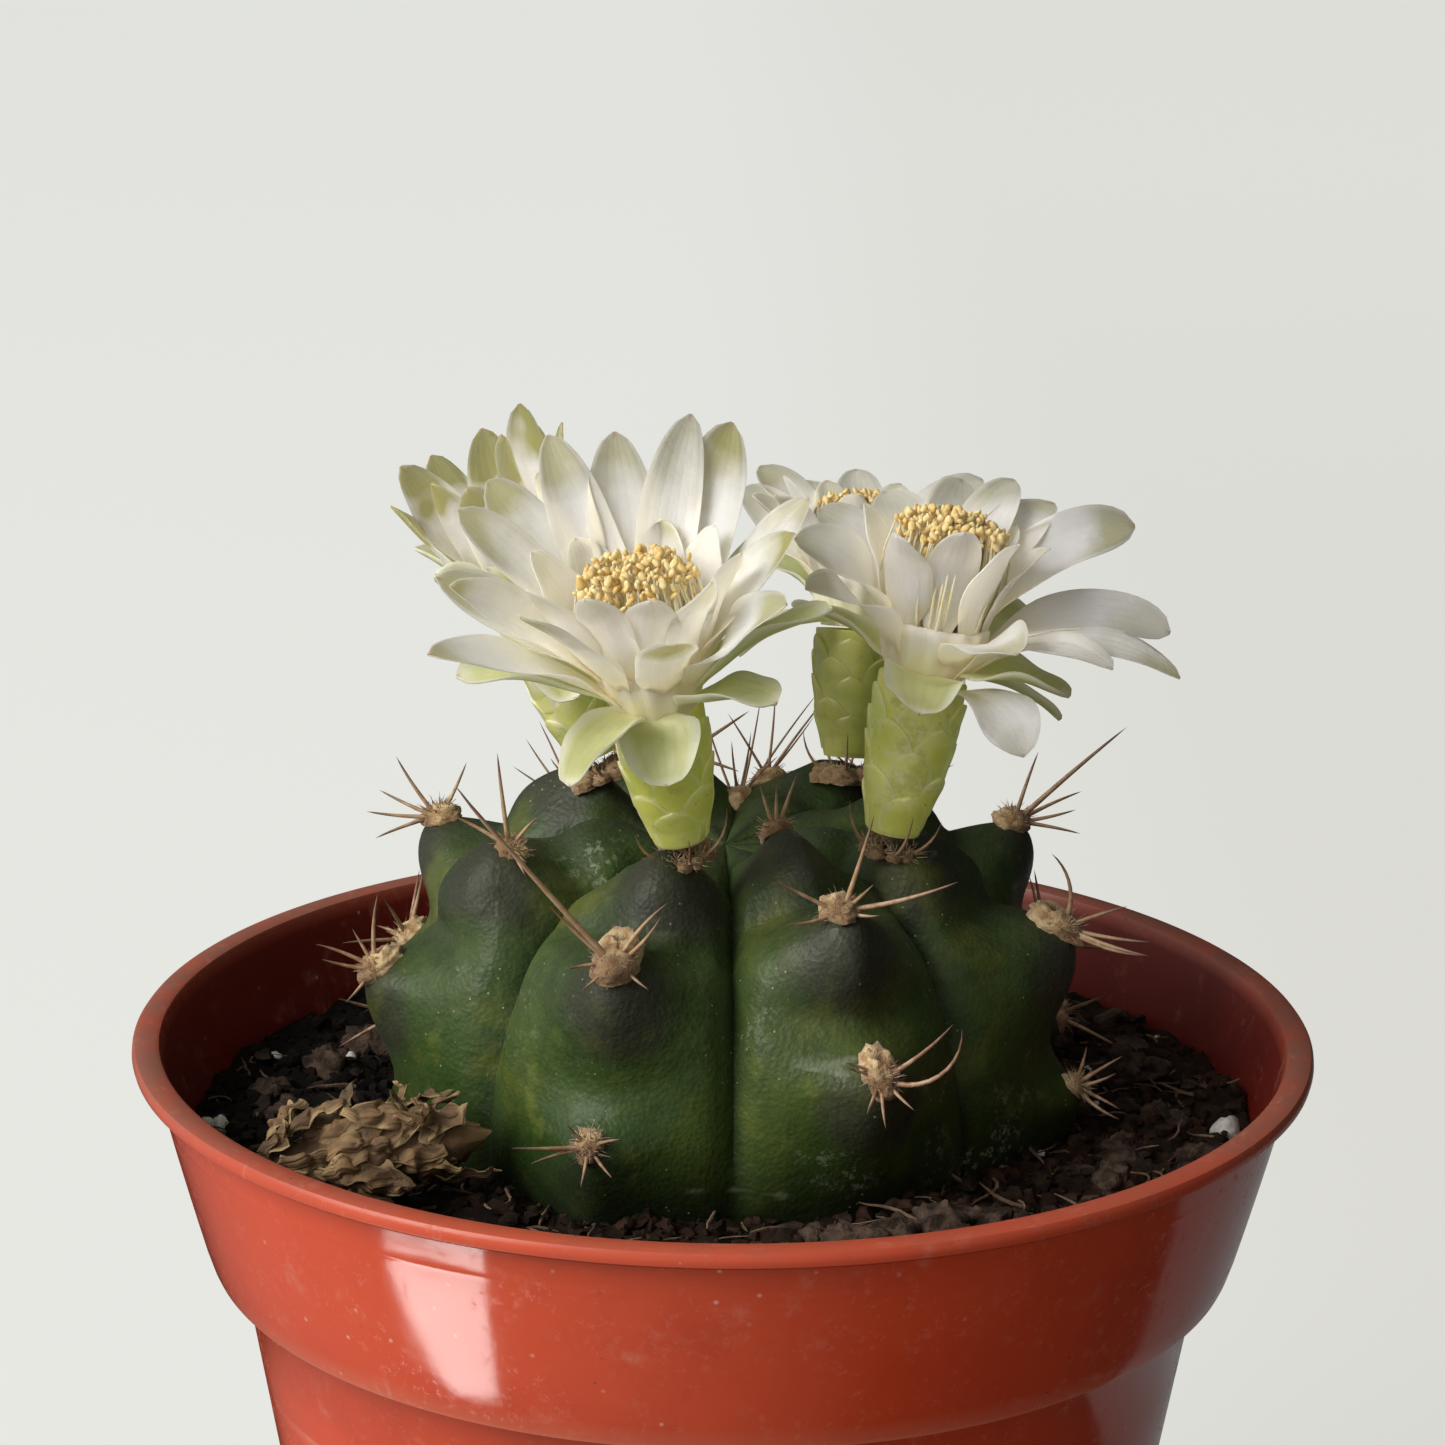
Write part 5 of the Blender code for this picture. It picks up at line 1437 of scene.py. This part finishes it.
def make_tube(name, bloom, place, look):
    """The floral tube, with rounded scales that overlap and stand off a little at their pale edges."""
    draw = random.Random(name + "tube")
    size = bloom["scale"]
    tall = bloom["tube"]
    pile = Pile("edge", "foot", "dull")
    heights = np.linspace(0, tall, TUBE_ROWS)
    points = turned([(float(tube_radius(h, bloom)) * size, h * size) for h in heights], TUBE_SIDES)
    points, faces = capped(points, (0, 0, 0), (0, 0, tall * size))
    foot = spread(smooth(0.3 * tall, 0, heights), TUBE_SIDES, 1, 0)
    pile.add(placed(points, place), faces, edge=0.0, foot=foot, dull=bloom["dull"])
    for row, (number, share, length) in enumerate(TUBE_SCALES):
        for k in range(number):
            azimuth = 360 * (k + 0.5 * row) / number + draw.uniform(-10, 10)
            add_scale(pile, azimuth, share * tall + draw.uniform(-0.4, 0.4), length, bloom, place, draw)
    pile.piece(f"{name}_tube", look, "tube_green", f"bloom_{name}_tube", angle=60)


def add_scale(pile, azimuth, height, length, bloom, place, draw):
    """A rounded scale wrapped on the tube, thick in its middle and lifted at its edge."""
    size = bloom["scale"]
    rows, columns = 14, 15
    s = np.linspace(0, 1, rows)[:, None]
    x = np.linspace(-1, 1, columns)[None, :]
    half = SCALE_WIDTH * draw.uniform(0.60, 0.74) * (0.78 + 0.22 * np.sin(math.pi * s))
    half = half * np.sqrt(np.maximum(1 - s**2.6, 0.0))
    z = height + length * s + 0 * x
    radius = tube_radius(z, bloom)
    lift = 0.16 + 0.24 * smooth(0.3, 1.0, s) - 0.10 * np.abs(x) ** 3 + draw.uniform(0, 0.12) * s * x
    turn = np.degrees(half * x / (radius + 0.4))
    out = ways(azimuth + turn)
    rise = UP * z[..., None]
    top = (out * (radius + lift)[..., None] + rise) * size
    bottom = (out * (radius - 0.25 + 0.45 * lift * s**2)[..., None] + rise) * size
    points, faces = slab(top, bottom)
    edge = np.maximum(smooth(0.72, 1.0, np.abs(x) + 0 * s), smooth(0.80, 1.0, s + 0 * x))
    edge = np.tile(edge.ravel(), 2)
    pile.add(placed(points, place), (faces[:, ::-1],), edge=edge, foot=0.0, dull=bloom["dull"])


def make_stamens(name, bloom, place, looks):
    """Slender filaments rise from the throat and end in anthers that crowd into a golden dome."""
    draw = random.Random(name + "stamens")
    size = bloom["scale"]
    base = (bloom["tube"] + THROAT_LENGTH) * size + 2 * GAP
    foot = base - 3.0 * size
    top = base + (bloom["sheaf_height"] + 0.7) * size
    wide = bloom["sheaf"] * size
    filaments = Pile()
    anthers = Pile()
    number = round(bloom["stamens"] * STAMEN_FACTOR)
    for k in range(number):
        share = (k + 0.5) / number
        stray = draw.random() < 0.1
        reach = wide * (math.sqrt(share) * 1.02 + (draw.uniform(0, 0.12) if stray else 0))
        reach += draw.uniform(-0.4, 0.4) * size
        azimuth = STAMEN_TURN * k + draw.uniform(-14, 14)
        out = direction(azimuth)
        drop = draw.uniform(0.8, 2.6) if stray else 0
        tip = out * reach + Vector((0, 0, top + (1.5 - 1.3 * share - drop + draw.uniform(-0.8, 0.8)) * size))
        root = out * (1.4 + 2.7 * share) * size + Vector((0, 0, foot + draw.uniform(0, 1.5)))
        sway = Vector((draw.uniform(-0.4, 0.4), draw.uniform(-0.4, 0.4), 0))
        swell = out * (0.9 * share + draw.uniform(-0.3, 0.4)) * size + sway
        centres = [root + (tip - root) * s + swell * math.sin(math.pi * s) for s in (0, 0.25, 0.5, 0.75, 1)]
        points, faces = tube(centres, [0.17, 0.16, 0.14, 0.12, 0.09], 5, out.cross(Vector((0, 0, 1))))
        filaments.add(placed(points, place), faces)
        points, faces = anther(draw, size * 0.74)
        anthers.add(placed(points + np.array(tip), place), faces)
    filaments.piece(f"{name}_filaments", looks["cream"], "anther_yellow", f"bloom_{name}_stamens", angle=80)
    anthers.piece(f"{name}_anthers", looks["gold"], "anther_yellow", f"bloom_{name}_stamens", angle=80)


def anther(draw, size):
    """Two pollen sacs side by side, as one waisted grain."""
    local, turn = ball(np.linspace(0.25, math.pi - 0.25, 6), 10)
    local = local * np.array([0.52, 0.36, 0.72])
    local[..., 0] *= 0.75 + 0.25 * np.abs(np.cos(turn))
    points, faces = capped(local, (0, 0, 0.70), (0, 0, -0.70), True)
    points = points * size * draw.uniform(0.7, 1.2)
    return tumbled(points, draw, 1.1), faces


def make_blooms():
    looks = {
        "white": tepal_look("tepal_white", True),
        "green": tepal_look("sepal_green", False),
        "cream": plain_look("filament_cream", (0.82, 0.72, 0.44), (0.92, 0.86, 0.66), 600, 0.5, 0.4, 0.0001),
        "gold": plain_look("anther_gold", (0.72, 0.46, 0.15), (0.96, 0.80, 0.44), 520, 0.75, 0.25, 0.0002),
    }
    wax = tube_look()
    for name, bloom in BLOOMS.items():
        place = bloom_matrix(bloom)
        make_tube(name, bloom, place, wax)
        make_perianth(name, bloom, place, looks)
        make_stamens(name, bloom, place, looks)


# Fallen bloom

def make_dried_bloom():
    """A fallen bloom: a withered core wrapped in curled, creased, papery tepals that overlap along it."""
    draw = random.Random(DRIED_SEED)
    pile = Pile("along", "across")
    profile = [(r * 0.85, z) for r, z in DRIED_PROFILE]
    core = turned(profile, DRIED_SIDES)
    core = core * (1 + 0.20 * wobble(core, 0.6, 3) + 0.1 * wobble(core, 1.6, 4))[..., None]
    pile.add(*capped(core, (0, 0, profile[0][1]), (0, 0, profile[-1][1])), along=0.3, across=0.2)
    for k in range(DRIED_BLADES):
        stands = k % 5 == 0
        azimuth = draw.uniform(-140, -40) if stands else DRIED_TURN * k
        lift = draw.uniform(15, 50) if stands else draw.uniform(66, 88)
        length = draw.uniform(4.0, 6.5) if stands else draw.uniform(6.0, 10.5)
        curl = draw.uniform(-110, 110) if stands else draw.uniform(-70, 30)
        height = draw.uniform(-11, 3)
        width = draw.uniform(1.6, 3.6)
        cup = draw.uniform(0.2, 1.0)
        blade = tepal(azimuth, lift, length, width, height, 1.9, curl, draw, cup, 0.26, 0.5)
        crease = np.stack([wobble(blade[0], 0.8, k + i * 40) for i in range(3)], -1) * 0.9
        back = k % 3 == 1
        points = (blade[0] + crease) * np.array([1, 1, -1 if back else 1])
        pile.add(points, (blade[1][:, ::-1] if back else blade[1],), along=blade[2], across=blade[3])
    obj = pile.piece("fallen_bloom", dried_look(), "dried_bloom", "dried_bloom", angle=80)
    along = direction(DRIED_AZIMUTH) + Vector((0, 0, DRIED_SLOPE))
    turn = Vector((0, 0, 1)).rotation_difference(along)
    obj.data.transform(turn.to_matrix().to_4x4())
    obj.data.transform(Matrix.Translation((DRIED_CENTRE[0] * MM, DRIED_CENTRE[1] * MM, 0)))
    lowest = min(v.co.z for v in obj.data.vertices)
    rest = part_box("dried_bloom")[0].z - DRIED_SINK * MM
    obj.data.transform(Matrix.Translation((0, 0, rest - lowest)))


# Camera, floor and light

def make_camera():
    e, roll = math.radians(CAMERA_ELEVATION), math.radians(CAMERA_ROLL)
    forward = Vector((0, math.cos(e), -math.sin(e)))
    right = Vector((1, 0, 0))
    up = right.cross(forward)
    x = right * math.cos(roll) + up * math.sin(roll)
    y = up * math.cos(roll) - right * math.sin(roll)
    place = (Vector(CAMERA_TARGET) - forward * CAMERA_DISTANCE) * MM
    data = bpy.data.cameras.new("camera")
    data.sensor_width = SENSOR_WIDTH
    data.lens = CAMERA_LENS
    data.clip_start = 0.01
    camera = bpy.data.objects.new("camera", data)
    bpy.context.scene.collection.objects.link(camera)
    camera.matrix_world = Matrix.Translation(place) @ Matrix((x, y, -forward)).transposed().to_4x4()
    bpy.context.scene.camera = camera


def make_floor():
    """A pale table, bright by itself for the camera, on which the object leaves a faint shadow, deepened by a
    painted shadow to the right of the pot and near it.
    """
    points = turned([(0.01, 0), (8000, 0)], FLOOR_SIDES).reshape(-1, 3)
    look = Look("floor_pale")
    shade = look.mix(look.noise(0.8, 1), (0.775, 0.785, 0.745), (0.79, 0.80, 0.76))
    # Painted shadow: the table's glow is darkened to the right of the pot, most near it.
    right = look.span(look.place("X"), -0.04, 0.13)
    near = look.span(look.place("Y"), 1.6, 0.0, 0.4, 1.0)
    shade = look.mix(look.times(right, near), shade, (0.700, 0.700, 0.655))
    look.done(
        Base_Color=(0.10, 0.10, 0.097),
        Roughness=0.9,
        Emission_Color=shade,
        Emission_Strength=0.92,
        Specular_IOR_Level=0.0,
    )
    floor = stage_piece("floor", points, grid_faces(2, FLOOR_SIDES, True)[:, ::-1], look)
    floor.visible_diffuse = False
    floor.visible_glossy = False


def stage_piece(name, points, faces, look):
    mesh = bpy.data.meshes.new(name)
    mesh.from_pydata((np.array(points) * MM).tolist(), [], np.array(faces).tolist())
    mesh.materials.append(look.material)
    obj = bpy.data.objects.new(name, mesh)
    bpy.context.scene.collection.objects.link(obj)
    return obj


def make_light():
    """A soft window at the left, a dim room, and two bright cards that only show in the plastic."""
    world = bpy.data.worlds.new("room")
    bpy.context.scene.world = world
    world.use_nodes = True
    tree = world.node_tree
    way = tree.nodes.new("ShaderNodeTexCoord").outputs["Generated"]
    toward = tree.nodes.new("ShaderNodeVectorMath")
    toward.operation = "DOT_PRODUCT"
    tree.links.new(way, toward.inputs[0])
    toward.inputs[1].default_value = ROOM_BRIGHT_WAY
    ramp = tree.nodes.new("ShaderNodeMapRange")
    tree.links.new(toward.outputs["Value"], ramp.inputs["Value"])
    for name, value in zip(("From Min", "From Max", "To Min", "To Max"), (-0.3, 1.0, ROOM_DIM, ROOM_BRIGHT)):
        ramp.inputs[name].default_value = value
    background = tree.nodes["Background"]
    background.inputs["Color"].default_value = (1.0, 0.975, 0.93, 1)
    tree.links.new(ramp.outputs["Result"], background.inputs["Strength"])
    make_window()
    glare_card("left_glare", LEFT_GLARE, LEFT_GLARE_STRENGTH)
    glare_card("right_glare", RIGHT_GLARE, RIGHT_GLARE_STRENGTH)


def make_window():
    data = bpy.data.lights.new("window", "AREA")
    data.shape = "RECTANGLE"
    data.size = data.size_y = WINDOW_SIZE
    data.energy = WINDOW_POWER
    data.color = (1.0, 0.97, 0.91)
    light = bpy.data.objects.new("window", data)
    bpy.context.scene.collection.objects.link(light)
    light.location = WINDOW_PLACE
    light.rotation_euler = (Vector(WINDOW_TARGET) - Vector(WINDOW_PLACE)).to_track_quat("-Z", "Y").to_euler()


def glare_card(name, corners, strength):
    """A bright patch of the table, given by its corners on it, that shows only as a reflection."""
    look = Look(name)
    look.done(Base_Color=(0, 0, 0), Emission_Color=(1.0, 0.99, 0.97), Emission_Strength=strength)
    card = stage_piece(name, [(x, y, 1) for x, y in corners], [range(len(corners))], look)
    card.visible_camera = False
    card.visible_diffuse = False
    card.visible_shadow = False


def make_view():
    view = bpy.context.scene.view_settings
    view.view_transform = "Standard"
    view.look = "None"


make_camera()
make_floor()
make_light()
make_view()
make_pot()
make_soil()
make_soil_bits()
make_skin()
make_areoles()
make_blooms()
make_dried_bloom()
